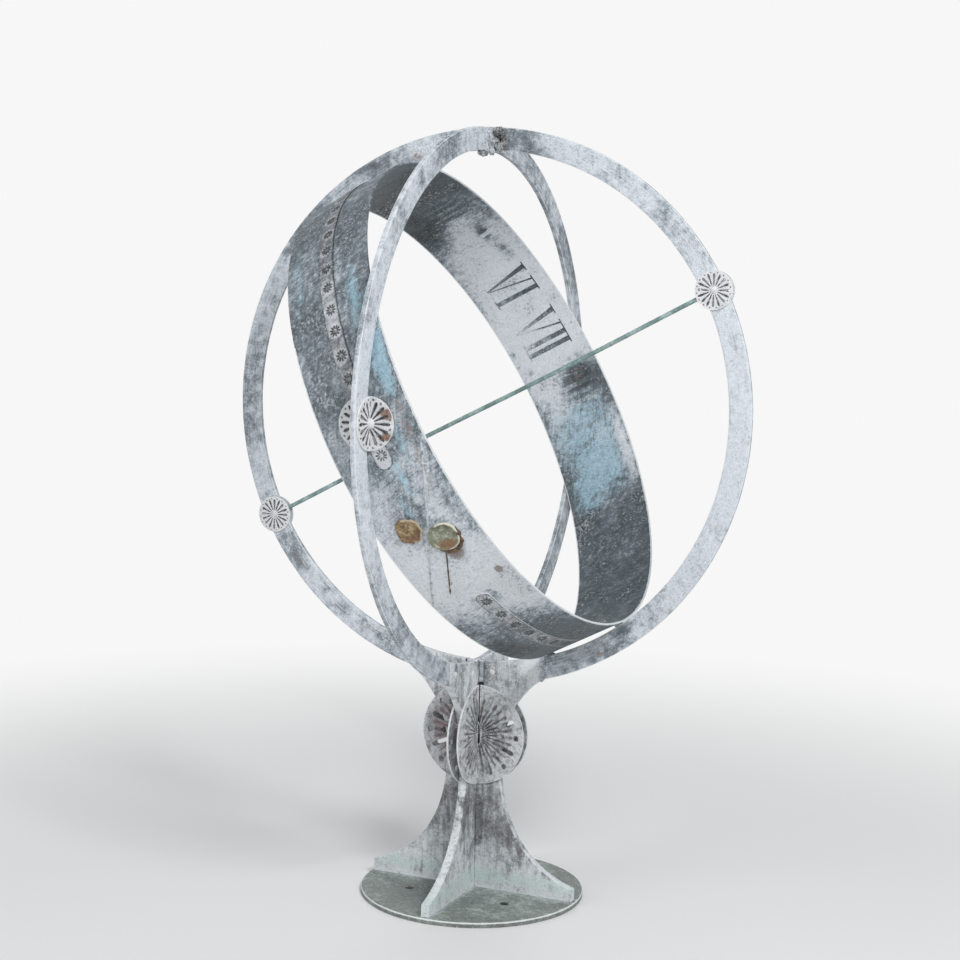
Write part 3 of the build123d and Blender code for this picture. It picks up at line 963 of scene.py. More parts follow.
@dataclass
class StarStrap:
    """One narrow strap on the band's outer face, stamped with a row of stars."""

    name: str
    node: str
    first: float
    last: float
    stars: Sequence[float]
    base: Triple = (0.43, 0.10, 0.08)
    width: float = 17.0
    corner: float = 8.0
    cell: float = 0.8
    star_radius: float = 6.6
    eye_radius: float = 1.3
    petals: int = 10
    stamp_depth: float = 0.5
    halo: float = 0.16
    edge_shade: float = 0.35
    edge_shine: float = 0.0
    stains: Sequence[Stain] = ()

    def half_width(self, inward: float) -> float:
        """Return the strap's half width at a distance from its end."""
        straight = self.width / 2
        if inward >= self.corner:
            return straight
        round_end = math.sqrt(max(0.0, self.corner**2 - (self.corner - inward) ** 2))
        return straight - self.corner + round_end + 0.01

    def blank(self, length: float) -> bmesh.types.BMesh:
        """Draw the round-ended strap flat, with its start at zero."""
        mesh = bmesh.new()
        bmesh.ops.create_grid(mesh, x_segments=round(length / self.cell),
                              y_segments=round(self.width / self.cell), size=0.5)
        for vertex in mesh.verts:
            along = (vertex.co.x + 0.5) * length
            limit = self.half_width(min(along, length - along))
            vertex.co = Vector((along, vertex.co.y * 2 * limit, 0))
        thicken(mesh, mesh.faces[:], -STRAP_THICKNESS)
        bmesh.ops.recalc_face_normals(mesh, faces=mesh.faces[:])
        return mesh

    def stamp(self, flat: np.ndarray, tone: np.ndarray) -> np.ndarray:
        """Darken the stars and work out how deep they are.

        Args:
            flat: The vertices of the flat strap.
            tone: Their tones, changed here.

        Returns:
            The share of the stamp's depth at each vertex.
        """
        drop = np.zeros(len(flat))
        for star in self.stars:
            dx = flat[:, 0] - math.radians(star - self.first) * STRAP_OUTER
            reach = np.hypot(dx, flat[:, 1])
            wave = np.cos(self.petals * np.arctan2(flat[:, 1], dx))
            near = reach < self.star_radius * 1.15
            scallop = self.star_radius * (0.86 + 0.14 * wave)
            inside = np.clip((scallop - reach) / 0.9, 0, 1) * np.clip((reach - 1.5) / 0.8, 0, 1)
            petal = inside * (0.6 + 0.4 * wave)
            drop = np.where(near, np.maximum(drop, petal), drop)
            tone[:, 0] += self.halo * np.exp(-((reach / 9.0) ** 4))
            tone[:, 0] -= np.where(near, 0.75 * petal, 0)
            tone[:, 0] -= np.where(reach < self.eye_radius, 0.25, 0)
        return drop

    def build(self) -> None:
        """Draw the strap flat, stamp it, roll it on to the band and dress it."""
        length = math.radians(self.last - self.first) * STRAP_OUTER
        mesh = self.blank(length)
        piece = Piece(self.name, mesh)
        flat = piece.points()
        angle = self.first + np.degrees(flat[:, 0] / STRAP_OUTER)
        piece.tone = stained(np.stack([angle, flat[:, 1]], 1), self.stains, self.base)
        drop = self.stamp(flat, piece.tone)
        for vertex, sink, height in zip(mesh.verts, drop, flat[:, 2]):
            if height > -STRAP_THICKNESS / 2:
                vertex.co.z -= self.stamp_depth * sink
        limit = np.array([self.half_width(min(x, length - x)) for x in flat[:, 0]])
        edge = np.minimum(limit - abs(flat[:, 1]), np.minimum(flat[:, 0], length - flat[:, 0]))
        if self.edge_shine == 0:
            edge = np.where(flat[:, 1] < 0, edge + 2.0, edge)
        piece.tone[:, 0] -= self.edge_shade * np.exp(-((edge / 0.9) ** 2))
        piece.tone[:, 3] = self.edge_shine * np.exp(-((edge / 0.8) ** 2))
        piece.surface = flat[:, :2].copy()
        start = math.radians(self.first)
        piece.move(lambda co: on_band(start + co.x / STRAP_OUTER, co.y, STRAP_OUTER + co.z))
        piece.finish(Palette.STRAP, [self.node], 60.0)


@dataclass
class Rosette:
    """A pierced and chased disc, or the half of one, drawn flat about its hub."""

    radius: float
    thickness: float
    rays: int
    relief: float
    sweep: float = HALF_TURN
    ring_step: float = 1.1
    slot_width: float = 0.07
    slot_reach: Pair = (0.46, 0.86)
    lozenge: Triple = (0.55, 0.2, 0.11)
    eyelet: Pair = (0.84, 0.045)
    eyelet_corners: int = 10
    step: float = math.radians(45)
    bore: float = 0.0
    ray_reach: Pair = (0.2, 0.84)
    ray_fade: Pair = (0.08, 0.06)
    ray_sharpness: float = 3.0
    ray_depth: float = 0.9
    dots: bool = False
    dot_reach: float = 0.89
    dot_radius: float = 0.035
    rim_start: float = 0.955

    @property
    def whole(self) -> bool:
        """Whether it is a full disc."""
        return self.sweep > HALF_TURN + WELD

    def openings(self) -> bmesh.types.BMesh:
        """Build the cutters of the slots, lozenges and eyelets."""
        cutter = bmesh.new()
        slots = 8 if self.whole else 4
        first = 0.0 if self.whole else -1.5 * self.step
        low, high = -1.0, self.thickness + self.relief + 2.0
        inner, outer = (share * self.radius for share in self.slot_reach)
        for index in range(slots):
            turn = first + index * self.step
            slot = capsule(outer - inner, self.slot_width * self.radius, turn, (inner + outer) / 2)
            prism(cutter, slot, low, high)
        reach, length, width = (share * self.radius for share in self.lozenge)
        far, small = (share * self.radius for share in self.eyelet)
        diamond = ((length / 2, 0), (0, width / 2), (-length / 2, 0), (0, -width / 2))
        corners = [k * FULL_TURN / self.eyelet_corners for k in range(self.eyelet_corners)]
        ring = [(small * math.cos(corner), small * math.sin(corner)) for corner in corners]
        for index in range(slots if self.whole else slots - 1):
            turn = first + (index + 0.5) * self.step
            for out, shape in ((reach, diamond), (far, ring)):
                prism(cutter, [turned(out + x, y, turn) for x, y in shape], low, high)
        return cutter

    def grooves(self, flat: np.ndarray) -> np.ndarray:
        """Return how deep the chased rays are at flat places, from 0 to 1."""
        reach = np.hypot(flat[:, 0], flat[:, 1]) / self.radius
        turn = np.arctan2(flat[:, 1], flat[:, 0])
        (first, last), (rise, fall) = self.ray_reach, self.ray_fade
        chased = np.clip((reach - first) / rise, 0, 1) * np.clip((last - reach) / fall, 0, 1)
        return chased * (0.5 + 0.5 * np.cos(self.rays * turn)) ** self.ray_sharpness

    def draw(self) -> bmesh.types.BMesh:
        """Draw the disc flat, with its back at height zero, pierce it and chase its front."""
        mesh = bmesh.new()
        outline = divided([(self.bore, 0), (self.radius, 0)], self.ring_step)
        verts = [mesh.verts.new((x, y, 0)) for x, y in outline]
        for pair in zip(verts, verts[1:]):
            mesh.edges.new(pair)
        bmesh.ops.rotate(mesh, verts=verts, cent=(0, 0, 0), matrix=Matrix.Rotation(-self.sweep / 2, 3, "Z"))
        sweep(mesh, self.sweep, self.rays * (6 if self.whole else 3))
        bmesh.ops.remove_doubles(mesh, verts=mesh.verts[:], dist=WELD)
        thicken(mesh, mesh.faces[:], self.thickness)
        bmesh.ops.recalc_face_normals(mesh, faces=mesh.faces[:])
        mesh = carve(mesh, self.openings())
        grooves = self.grooves(numbers(vertex.co for vertex in mesh.verts))
        for vertex, groove in zip(mesh.verts, grooves):
            if vertex.co.z > self.thickness / 2:
                vertex.co.z -= self.relief * self.ray_depth * groove
        return mesh

    def tones(self, flat: np.ndarray, base: Triple, stains: Sequence[Stain], groove: float) -> np.ndarray:
        """Work out the tone of the flat drawing.

        Args:
            flat: Its vertices.
            base: The tone where there is no stain.
            stains: The local changes.
            groove: How much darker the rays are.

        Returns:
            The tone of each vertex.
        """
        tone = stained(flat[:, :2], stains, base)
        reach = np.hypot(flat[:, 0], flat[:, 1]) / self.radius
        tone[:, 0] -= groove * self.grooves(flat)
        if self.dots:
            turn = np.arctan2(flat[:, 1], flat[:, 0])
            nearest = (turn * self.rays / FULL_TURN) % 1 - 0.5
            gap = np.hypot(nearest * FULL_TURN / self.rays * 0.88, reach - self.dot_reach)
            tone[:, 0] -= 0.9 * np.exp(-((gap / self.dot_radius) ** 2))
        tone[:, 3] = np.clip((reach - self.rim_start) / 0.04, 0, 1) * 0.8
        tone[flat[:, 2] < self.thickness / 3, 0] = base[0] - 0.1
        return tone


@dataclass
class CrossingRosettes:
    """The four rosettes folded into the corners between the colure ring and the band."""

    radius: float = 26.5
    thickness: float = 1.5
    hub: float = 5.5
    hub_sink: float = 0.9
    relief: float = 0.7
    base: Triple = (0.84, 0.0, 0.05)
    hub_paleness: float = 0.95
    fold_radius: float = STRAP_OUTER + FILM
    start: float = BAR_THICKNESS / 2 + FILM

    NEAR = (
        Stain((20, 10), (9, 7), pale=-0.2, brown=0.8),
        Stain((19, -12), (8, 5), pale=-0.2, brown=0.75),
    )

    def leg(self, side: int, face: int, on_ring: bool) -> Tuple[bmesh.types.BMesh, np.ndarray]:
        """Make one half disc and lay it on the ring or on the band's strap.

        Args:
            side: 1 in the west and -1 in the east.
            face: 1 on the ring's north face and -1 on its south face.
            on_ring: Whether it lies on the ring.

        Returns:
            The half disc and the tone of its vertices.
        """
        rosette = Rosette(self.radius, self.thickness, 16, self.relief, dots=True, ring_step=0.8)
        drawn = rosette.draw()
        stains = self.NEAR if side < 0 < face and not on_ring else ()
        tone = rosette.tones(numbers(vertex.co for vertex in drawn.verts), self.base, stains, 1.0)
        for vertex in drawn.verts:
            out, high, proud = vertex.co
            if on_ring:
                x = face * (self.start + proud)
                y = side * (self.fold_radius + out)
            else:
                x = face * (self.start + out)
                slant = x * LOWEST.x + high * LOWEST.z
                y = side * math.sqrt((self.fold_radius + proud) ** 2 - slant**2)
            vertex.co = Vector((x, y, CENTRE_HEIGHT + high))
        return drawn, tone

    def knob(self, mesh: bmesh.types.BMesh, side: int, face: int) -> int:
        """Add the hub in the fold, flattened where it meets the sheet, and count its vertices."""
        ball = bmesh.ops.create_uvsphere(mesh, u_segments=20, v_segments=12, radius=self.hub)["verts"]
        corner = Vector((face * (self.start + self.hub_sink), side * (self.fold_radius + self.hub_sink),
                         CENTRE_HEIGHT))
        for vertex in ball:
            co = vertex.co
            x = corner.x + (co.x if co.x * face > 0 else co.x * 0.1)
            y = corner.y + (co.y if co.y * side > 0 else co.y * 0.1)
            vertex.co = Vector((x, y, corner.z + co.z))
        return len(ball)

    def build(self) -> None:
        """Make each folded rosette from two half discs and a hub."""
        for side_name, side in (("east", -1), ("west", 1)):
            for face_name, face in (("north", 1), ("south", -1)):
                mesh = bmesh.new()
                tones = []
                for on_ring in (False, True):
                    drawn, tone = self.leg(side, face, on_ring)
                    join_in(mesh, drawn)
                    tones.append(tone)
                count = self.knob(mesh, side, face)
                tones.append(np.tile([self.hub_paleness, 0, 0, 0], (count, 1)))
                piece = Piece(f"{side_name}_folded_rosette_{face_name}", mesh)
                piece.tone = np.vstack(tones)
                piece.finish(Palette.ROSETTE,
                             [f"{side_name}_crossing_rosette_{face_name}"])


@dataclass
class PoleRosettes:
    """The pierced discs on both faces of the meridian ring at the rod's ends, and their rivets."""

    radius: float = 20.5
    thickness: float = 1.5
    relief: float = 0.6
    rivet_radius: float = 3.6
    rivet_rise: float = 1.9
    rivet_arc: int = 7
    rivet_sink: float = 0.3
    shank: float = 2.0
    base: Triple = (0.88, 0.02, 0.02)
    rivet_tone: Triple = (0.78, 0, 0)

    def disc(self, middle: Vector, face: int, name: str, node: str) -> None:
        """Make one disc.

        Args:
            middle: The middle of the bar at the rod's end.
            face: 1 on the ring's west face and -1 on its east face.
            name: The piece's name.
            node: The CAD node that it stands for.
        """
        rosette = Rosette(self.radius, self.thickness, 16, self.relief, sweep=FULL_TURN, bore=1.2,
                          dots=True, ring_step=0.8)
        mesh = rosette.draw()
        piece = Piece(name, mesh)
        piece.tone = rosette.tones(piece.points(), self.base, (), 1.1)
        start = BAR_THICKNESS / 2
        piece.move(lambda co: middle + NORTH * co.x + UP * co.y + WEST * (face * (start + co.z)))
        bmesh.ops.recalc_face_normals(mesh, faces=mesh.faces[:])
        piece.finish(Palette.ROSETTE, [node])

    def dome(self) -> List[Pair]:
        """Return the outline of the rivet's upper half."""
        half = BAR_THICKNESS / 2 + self.thickness
        angles = [QUARTER_TURN * index / (self.rivet_arc - 1) for index in range(self.rivet_arc)]
        cap = [(self.rivet_radius * math.sin(a), half + self.rivet_rise * math.cos(a)) for a in angles]
        neck = half - self.rivet_sink
        return cap + [(self.rivet_radius, neck), (self.shank, neck)]

    def build(self) -> None:
        """Make the four discs and the two domed rivets."""
        rivets = bmesh.new()
        for pole_name, pole in (("north", 1), ("south", -1)):
            middle = CENTRE + POLAR * (pole * RING_MIDDLE)
            for face_name, face in (("east", -1), ("west", 1)):
                self.disc(middle, face, f"{pole_name}_pole_disc_{face_name}",
                          f"{pole_name}_pole_rosette_{face_name}")
            join_in(rivets, rivet(self.dome(), 20,
                                  lambda co: middle + NORTH * co.x + UP * co.y + WEST * co.z))
        piece = Piece("pole_rivet_domes", rivets)
        piece.paint(self.rivet_tone)
        piece.finish(Palette.ROSETTE, ["pole_rivets"])


@dataclass
class Medallions:
    """The four large pierced discs folded into the corners between the fins."""

    radius: float = 56.0
    height: float = 182.0
    thickness: float = 2.0
    relief: float = 0.9
    keyhole: Pair = (4.0, 15.0)
    slit: float = 2.8
    start: float = FIN_THICKNESS / 2
    base: Triple = (0.66, 0.03, 0.10)
    hub_reach: Pair = (6.6, 2.2)

    NORTH_STAINS = (
        Stain((35, 20), (18, 20), pale=0.10),
        Stain((10, -40), (20, 12), green=0.35),
    )
    SOUTH_STAINS = (
        Stain((30, 5), (24, 45), pale=-0.05, brown=0.52),
    )

    def notch(self) -> bmesh.types.BMesh:
        """Build the cutter of the keyhole and slit on the fold."""
        cutter = bmesh.new()
        wide, tall = self.keyhole
        past = self.radius + 1
        for outline in (
            ((-1, -tall), (wide, -tall * 0.6), (wide, tall * 0.6), (-1, tall)),
            ((-1, 0), (self.slit, 0), (self.slit, past), (-1, past)),
        ):
            prism(cutter, outline, -1.0, self.thickness + 3)
        return cutter

    def leg(self, side: int, face: int, across: bool) -> Tuple[bmesh.types.BMesh, np.ndarray]:
        """Make one half disc and lay it on a fin.

        Args:
            side: 1 in the west and -1 in the east.
            face: 1 in the north and -1 in the south.
            across: Whether it lies on the through fin.

        Returns:
            The half disc and the tone of its vertices.
        """
        medallion = Rosette(self.radius, self.thickness, 32, self.relief, ring_step=2.0, slot_width=0.1,
                            lozenge=(0.52, 0.2, 0.16), eyelet=(0.84, 0.06), ray_reach=(0.08, 0.78),
                            ray_sharpness=2.0)
        drawn = carve(medallion.draw(), self.notch(), True)
        flat = numbers(vertex.co for vertex in drawn.verts)
        stains = self.NORTH_STAINS if face > 0 else self.SOUTH_STAINS
        tone = medallion.tones(flat, self.base, stains, 0.36)
        hub_radius, hub_stretch = self.hub_reach
        hub = np.hypot(flat[:, 0], flat[:, 1] / hub_stretch)
        tone[:, 3] = np.maximum(tone[:, 3], np.where(hub < hub_radius, 0.8, 0))
        for vertex in drawn.verts:
            out, high, proud = vertex.co
            place = (self.start + proud, self.start + out)
            x, y = place if across else reversed(place)
            vertex.co = Vector((face * x, side * y, self.height + high))
        return drawn, tone

    def build(self) -> None:
        """Make each folded medallion from two half discs."""
        for face_name, face in (("north", 1), ("south", -1)):
            for side_name, side in (("east", -1), ("west", 1)):
                mesh = bmesh.new()
                tones = []
                for across in (False, True):
                    drawn, tone = self.leg(side, face, across)
                    join_in(mesh, drawn)
                    tones.append(tone)
                piece = Piece(f"folded_medallion_{face_name}_{side_name}", mesh)
                piece.tone = np.vstack(tones)
                piece.finish(Palette.MEDALLION,
                             [f"medallion_{face_name}_{side_name}"])


@dataclass(frozen=True)
class Fin:
    """What sets one fin apart. Its stains lie by x, y and z."""

    name: str
    node: str
    across: Vector
    seed: float
    stains: Sequence[Stain] = ()
    through: bool = False


@dataclass
class Pedestal:
    """The round plate and the fins that carry the rings in open saddles."""

    base_radius: float = 125.0
    base_thickness: float = 6.0
    base_edge: float = 1.5
    anchor_places: Pair = (58.0, 42.0)
    anchor_radius: float = 4.5
    foot_radius: float = 122.0
    foot_height: float = 14.0
    sweep_flatness: float = 62.0
    sweep_rise: float = 18.0
    sweep_knee: float = 89.0
    neck_half: float = 32.0
    neck_bottom: float = 154.0
    waist: float = 160.0
    cradle_half: float = 80.0
    split_height: float = 165.0
    split_gap: float = 5.5
    saddle_clearance: float = 0.3
    saddle_half: float = 3.1
    arris: float = 1.1
    cell: float = 4.0
    base_tone: Triple = (0.46, 0.12, 0.0)
    fin_tone_base: Triple = (0.62, 0.05, 0.05)
    rivet_reaches: Pair = (21.0, 67.0)
    rivet_tone: Triple = (0.8, 0, 0)

    THROUGH_STAINS = (
        Stain((0, -50, 262), (20, 34, 16), pale=-0.08),
        Stain((0, -20, 190), (30, 30, 30), green=0.25),
        Stain((0, -60, 70), (20, 40, 30), pale=0.12),
    )
    NORTH_STAINS = (
        Stain((70, -5, 262), (14, 9, 16), pale=0.20),
        Stain((30, -5, 250), (26, 9, 14), pale=-0.10),
    )
    BASE_STAINS = (
        Stain((-40, -60), (45, 40), pale=-0.18),
        Stain((60, -40), (40, 40), pale=0.02, green=0.12),
    )
    def ring_height(self, radius: float, reach: float) -> float:
        """Return the height of a circle about the sphere's centre, below it."""
        return CENTRE_HEIGHT - math.sqrt(radius**2 - reach**2)

    def half_outline(self) -> List[Pair]:
        """Return half a fin's outline, from the foot's tip up to the middle of the saddle."""
        foot_top = self.base_thickness + self.foot_height
        shoulder = self.ring_height(RING_OUTER, self.cradle_half)
        reach, rise = self.cradle_half - self.neck_half, shoulder - self.waist
        bend = (reach**2 + rise**2) / (2 * reach)
        outline = [(self.foot_radius, self.base_thickness + FILM)]
        xs = (self.foot_radius, self.foot_radius - self.sweep_flatness, self.neck_half, self.neck_half)
        ys = (foot_top, foot_top + self.sweep_rise, self.sweep_knee, self.neck_bottom)
        for index in range(25):
            t = index / 24
            weights = ((1 - t) ** 3, 3 * t * (1 - t) ** 2, 3 * t * t * (1 - t), t**3)
            outline.append(tuple(sum(w * x for w, x in zip(weights, places)) for places in (xs, ys)))
        stop = math.atan2(rise, reach - bend)
        for index in range(15):
            angle = HALF_TURN + (stop - HALF_TURN) * index / 14
            outline.append((self.neck_half + bend + bend * math.cos(angle),
                            self.waist + bend * math.sin(angle)))
        for index in range(13):
            across = self.cradle_half * (1 - index / 12)
            outline.append((across, self.ring_height(RING_INNER, across)))
        return outline

    def saddle(self, across: Vector) -> bmesh.types.BMesh:
        """Build the cutter of the groove that takes one ring's bar."""
        cutter = bmesh.new()
        radius = RING_OUTER + self.saddle_clearance
        bmesh.ops.create_cone(cutter, cap_ends=True, segments=360, radius1=radius, radius2=radius,
                              depth=2 * self.saddle_half)
        sideways = across.cross(UP)
        for vertex in cutter.verts:
            vertex.co = CENTRE + across * vertex.co.x + UP * vertex.co.y + sideways * vertex.co.z
        return cutter

    def fin_body(self, outline: Sequence[Pair], fin: Fin) -> bmesh.types.BMesh:
        """Cut one fin from plate, bevel it and divide it finely.

        Args:
            outline: The reach and height of each point.
            fin: The fin.

        Returns:
            The fin in its place.
        """
        mesh = bmesh.new()
        half = FIN_THICKNESS / 2
        prism(mesh, outline, -half, half)
        bmesh.ops.recalc_face_normals(mesh, faces=mesh.faces[:])
        rim = [edge for edge in mesh.edges if abs(edge.verts[0].co.z - edge.verts[1].co.z) < 0.01]
        rim = [edge for edge in rim if min(v.co.y for v in edge.verts) > self.base_thickness + 1]
        bmesh.ops.bevel(mesh, geom=rim, offset=self.arris, offset_type="OFFSET", segments=2, profile=0.5,
                        affect="EDGES", clamp_overlap=True, material=-1)
        sideways = fin.across.cross(UP)
        for vertex in mesh.verts:
            vertex.co = fin.across * vertex.co.x + UP * vertex.co.y + sideways * vertex.co.z
        bmesh.ops.recalc_face_normals(mesh, faces=mesh.faces[:])
        mesh = carve(mesh, self.saddle(fin.across))
        if fin.through:
            mesh = carve(mesh, self.saddle(NORTH))
        corners = numbers(vertex.co for vertex in mesh.verts)
        for direction in (fin.across, UP):
            spread = corners @ np.array(direction)
            low, high = spread.min(), spread.max()
            for index in range(1, int((high - low) / self.cell)):
                everything = mesh.verts[:] + mesh.edges[:] + mesh.faces[:]
                bmesh.ops.bisect_plane(mesh, geom=everything, dist=WELD / 2,
                                       plane_co=direction * (low + index * self.cell), plane_no=direction)
        bmesh.ops.triangulate(mesh, faces=[face for face in mesh.faces if len(face.verts) > 4])
        return mesh

    def shaded(self, flat: np.ndarray, fin: Fin) -> np.ndarray:
        """Return which vertices get painted shade: the gap between the fins above mid-height and, on the
        through fin, the strip behind the medallions' keyholes and slits.
        """
        half = FIN_THICKNESS / 2
        heights = flat[:, 2]
        if fin.through:
            behind_gap = (abs(flat[:, 1]) < half + 0.5) & (heights > self.split_height - 3)
            around_hubs = (abs(flat[:, 1]) < half + 3.6) & (abs(heights - 202) < 37)
            return behind_gap | around_hubs
        along = abs(flat @ np.array(fin.across))
        return (along < half + self.split_gap + 0.4) & (heights > self.split_height)

    def fin_tone(self, flat: np.ndarray, fin: Fin) -> np.ndarray:
        """Work out a fin's tone: white foot, green above it, brown middle, pale cheeks, bright arrises and
        painted shade in the gap between the fins.

        Args:
            flat: The vertices.
            fin: The fin.

        Returns:
            The tone of each vertex.
        """
        tone = stained(flat, fin.stains, self.fin_tone_base)
        low_part = np.clip((50 - flat[:, 2]) / 30, 0, 1)
        middle_part = np.exp(-(((flat[:, 2] - 95) / 38) ** 2))
        cheek_part = np.clip((flat[:, 2] - 225) / 20, 0, 1)
        foot_line = np.exp(-(((flat[:, 2] - self.base_thickness) / 4) ** 2))
        tone[:, 0] += 0.12 * low_part - 0.20 * middle_part + 0.06 * cheek_part + 0.25 * foot_line
        tone[:, 1] += 0.55 * np.exp(-(((flat[:, 2] - 22) / 12) ** 2)) + 0.12 * cheek_part
        tone[:, 2] += 0.34 * middle_part
        from_middle = abs(flat @ np.array(fin.across.cross(UP)))
        skin = FIN_THICKNESS / 2 - self.arris * 0.75
        tone[from_middle < skin, 0] += 0.12
        tone[abs(from_middle - skin) < self.arris * 0.7, 3] = 0.62
        # Painted shade: the gap between the fins and the strip behind the medallions' slots are darkened
        # and lose their pale edges.
        shaded = self.shaded(flat, fin)
        tone[shaded, 0] -= 0.75
        tone[shaded, 3] = 0
        return tone

    def fins(self) -> None:
        """Make the through fin and the two half fins on its faces."""
        half = self.half_outline()
        whole = half + [(-reach, height) for reach, height in reversed(half)][1:]
        gap = FIN_THICKNESS / 2 + self.split_gap
        start = FIN_THICKNESS / 2 + FILM
        trimmed = [point for point in half if point[0] > gap]
        trimmed += [(gap, self.ring_height(RING_INNER, gap)), (gap, self.split_height),
                    (start, self.split_height), (start, self.base_thickness + FILM)]
        for outline, fin in (
            (whole, Fin("through_fin", "east_west_fin", WEST, 1.0, self.THROUGH_STAINS, through=True)),
            (trimmed, Fin("north_half_fin", "north_fin", NORTH, 5.0, self.NORTH_STAINS)),
            (trimmed, Fin("south_half_fin", "south_fin", -NORTH, 9.0)),
        ):
            mesh = self.fin_body(outline, fin)
            piece = Piece(fin.name, mesh)
            piece.tone = self.fin_tone(piece.points(), fin)
            roughen(mesh, 16.0, 0.5, fin.seed)
            piece.finish(Palette.PEDESTAL, [fin.node])

    def plate(self) -> None:
        """Turn the round plate, drill its anchor holes and dress it."""
        r, t, e = self.base_radius - 0.1, self.base_thickness - 0.05, self.base_edge
        arc = [(r - e + e * math.sin(a), t - e + e * math.cos(a))
               for a in (QUARTER_TURN * k / 4 for k in range(1, 5))]
        outline = divided([(0, 0), (r, 0)], 8.0) + divided([(r, 0), (r, t - e)], 2.0)[1:-1]
        outline += list(reversed(arc)) + divided([(r - e, t), (0, t)], 3.0)
        mesh = bmesh.new()
        lathe(mesh, outline, 180)
        cutter = bmesh.new()
        hole_x, hole_y = self.anchor_places
        for x in (-hole_x, hole_x):
            for y in (-hole_y, hole_y):
                bmesh.ops.create_cone(cutter, cap_ends=True, segments=28, radius1=self.anchor_radius,
                                      radius2=self.anchor_radius, depth=3 * t,
                                      matrix=Matrix.Translation((x, y, t / 2)))
        mesh = carve(mesh, cutter)
        piece = Piece("round_base", mesh)
        flat = piece.points()
        for vertex in mesh.verts:
            if vertex.co.z > t - 0.5:
                vertex.co.z -= 0.12 * (1 + noise.noise(vertex.co / 20))
        reach = np.hypot(flat[:, 0], flat[:, 1])
        piece.tone = stained(flat[:, :2], self.BASE_STAINS, self.base_tone)
        nearest_fin = np.minimum(abs(flat[:, 0]), abs(flat[:, 1]))
        piece.tone[:, 1] += 0.3 * np.exp(-((nearest_fin - 5) / 5) ** 2)
        piece.tone[:, 0] += 0.15 * np.exp(-((nearest_fin - 5) / 3) ** 2)
        holes = np.hypot(abs(flat[:, 0]) - hole_x, abs(flat[:, 1]) - hole_y)
        # Painted highlight: a thin pale line along the plate's rounded top edge; the side wall below it is
        # a plain middle tone without it.
        piece.tone[:, 3] = np.clip((reach - r + 1.6) / 1.2, 0, 1) * 0.9
        # Painted shade: the anchor holes and the lips around them are painted black, as shade inside the
        # holes.
        piece.tone[holes < self.anchor_radius + 0.3, 0] = 0.0
        wall = (reach > r - 0.3) & (flat[:, 2] < t - e - 0.2)
        piece.tone[wall, 3] = 0.0
        piece.tone[wall, 0] = 0.38
        piece.finish(Palette.BASE, ["base_plate"])

    def rivets(self) -> None:
        """Make the eight rivets through the cheeks of the saddles."""
        together = bmesh.new()
        half = FIN_THICKNESS / 2
        head = [(0, half + 0.85), (1.4, half + 0.78), (2.5, half + 0.5), (3.2, half - 0.1)]
        for across in (NORTH, WEST):
            sideways = across.cross(UP)
            for side in (-1, 1):
                for reach in self.rivet_reaches:
                    spot = across * (side * reach) + UP * self.ring_height(RING_MIDDLE, reach)
                    join_in(together, rivet(head, 14,
                                            lambda co: spot + across * co.x + UP * co.y + sideways * co.z))
        piece = Piece("cheek_rivets", together)
        piece.paint(self.rivet_tone)
        piece.finish(Palette.ROSETTE, ["saddle_rivets"])

    def build(self) -> None:
        """Make the whole pedestal."""
        self.plate()
        self.fins()
        self.rivets()


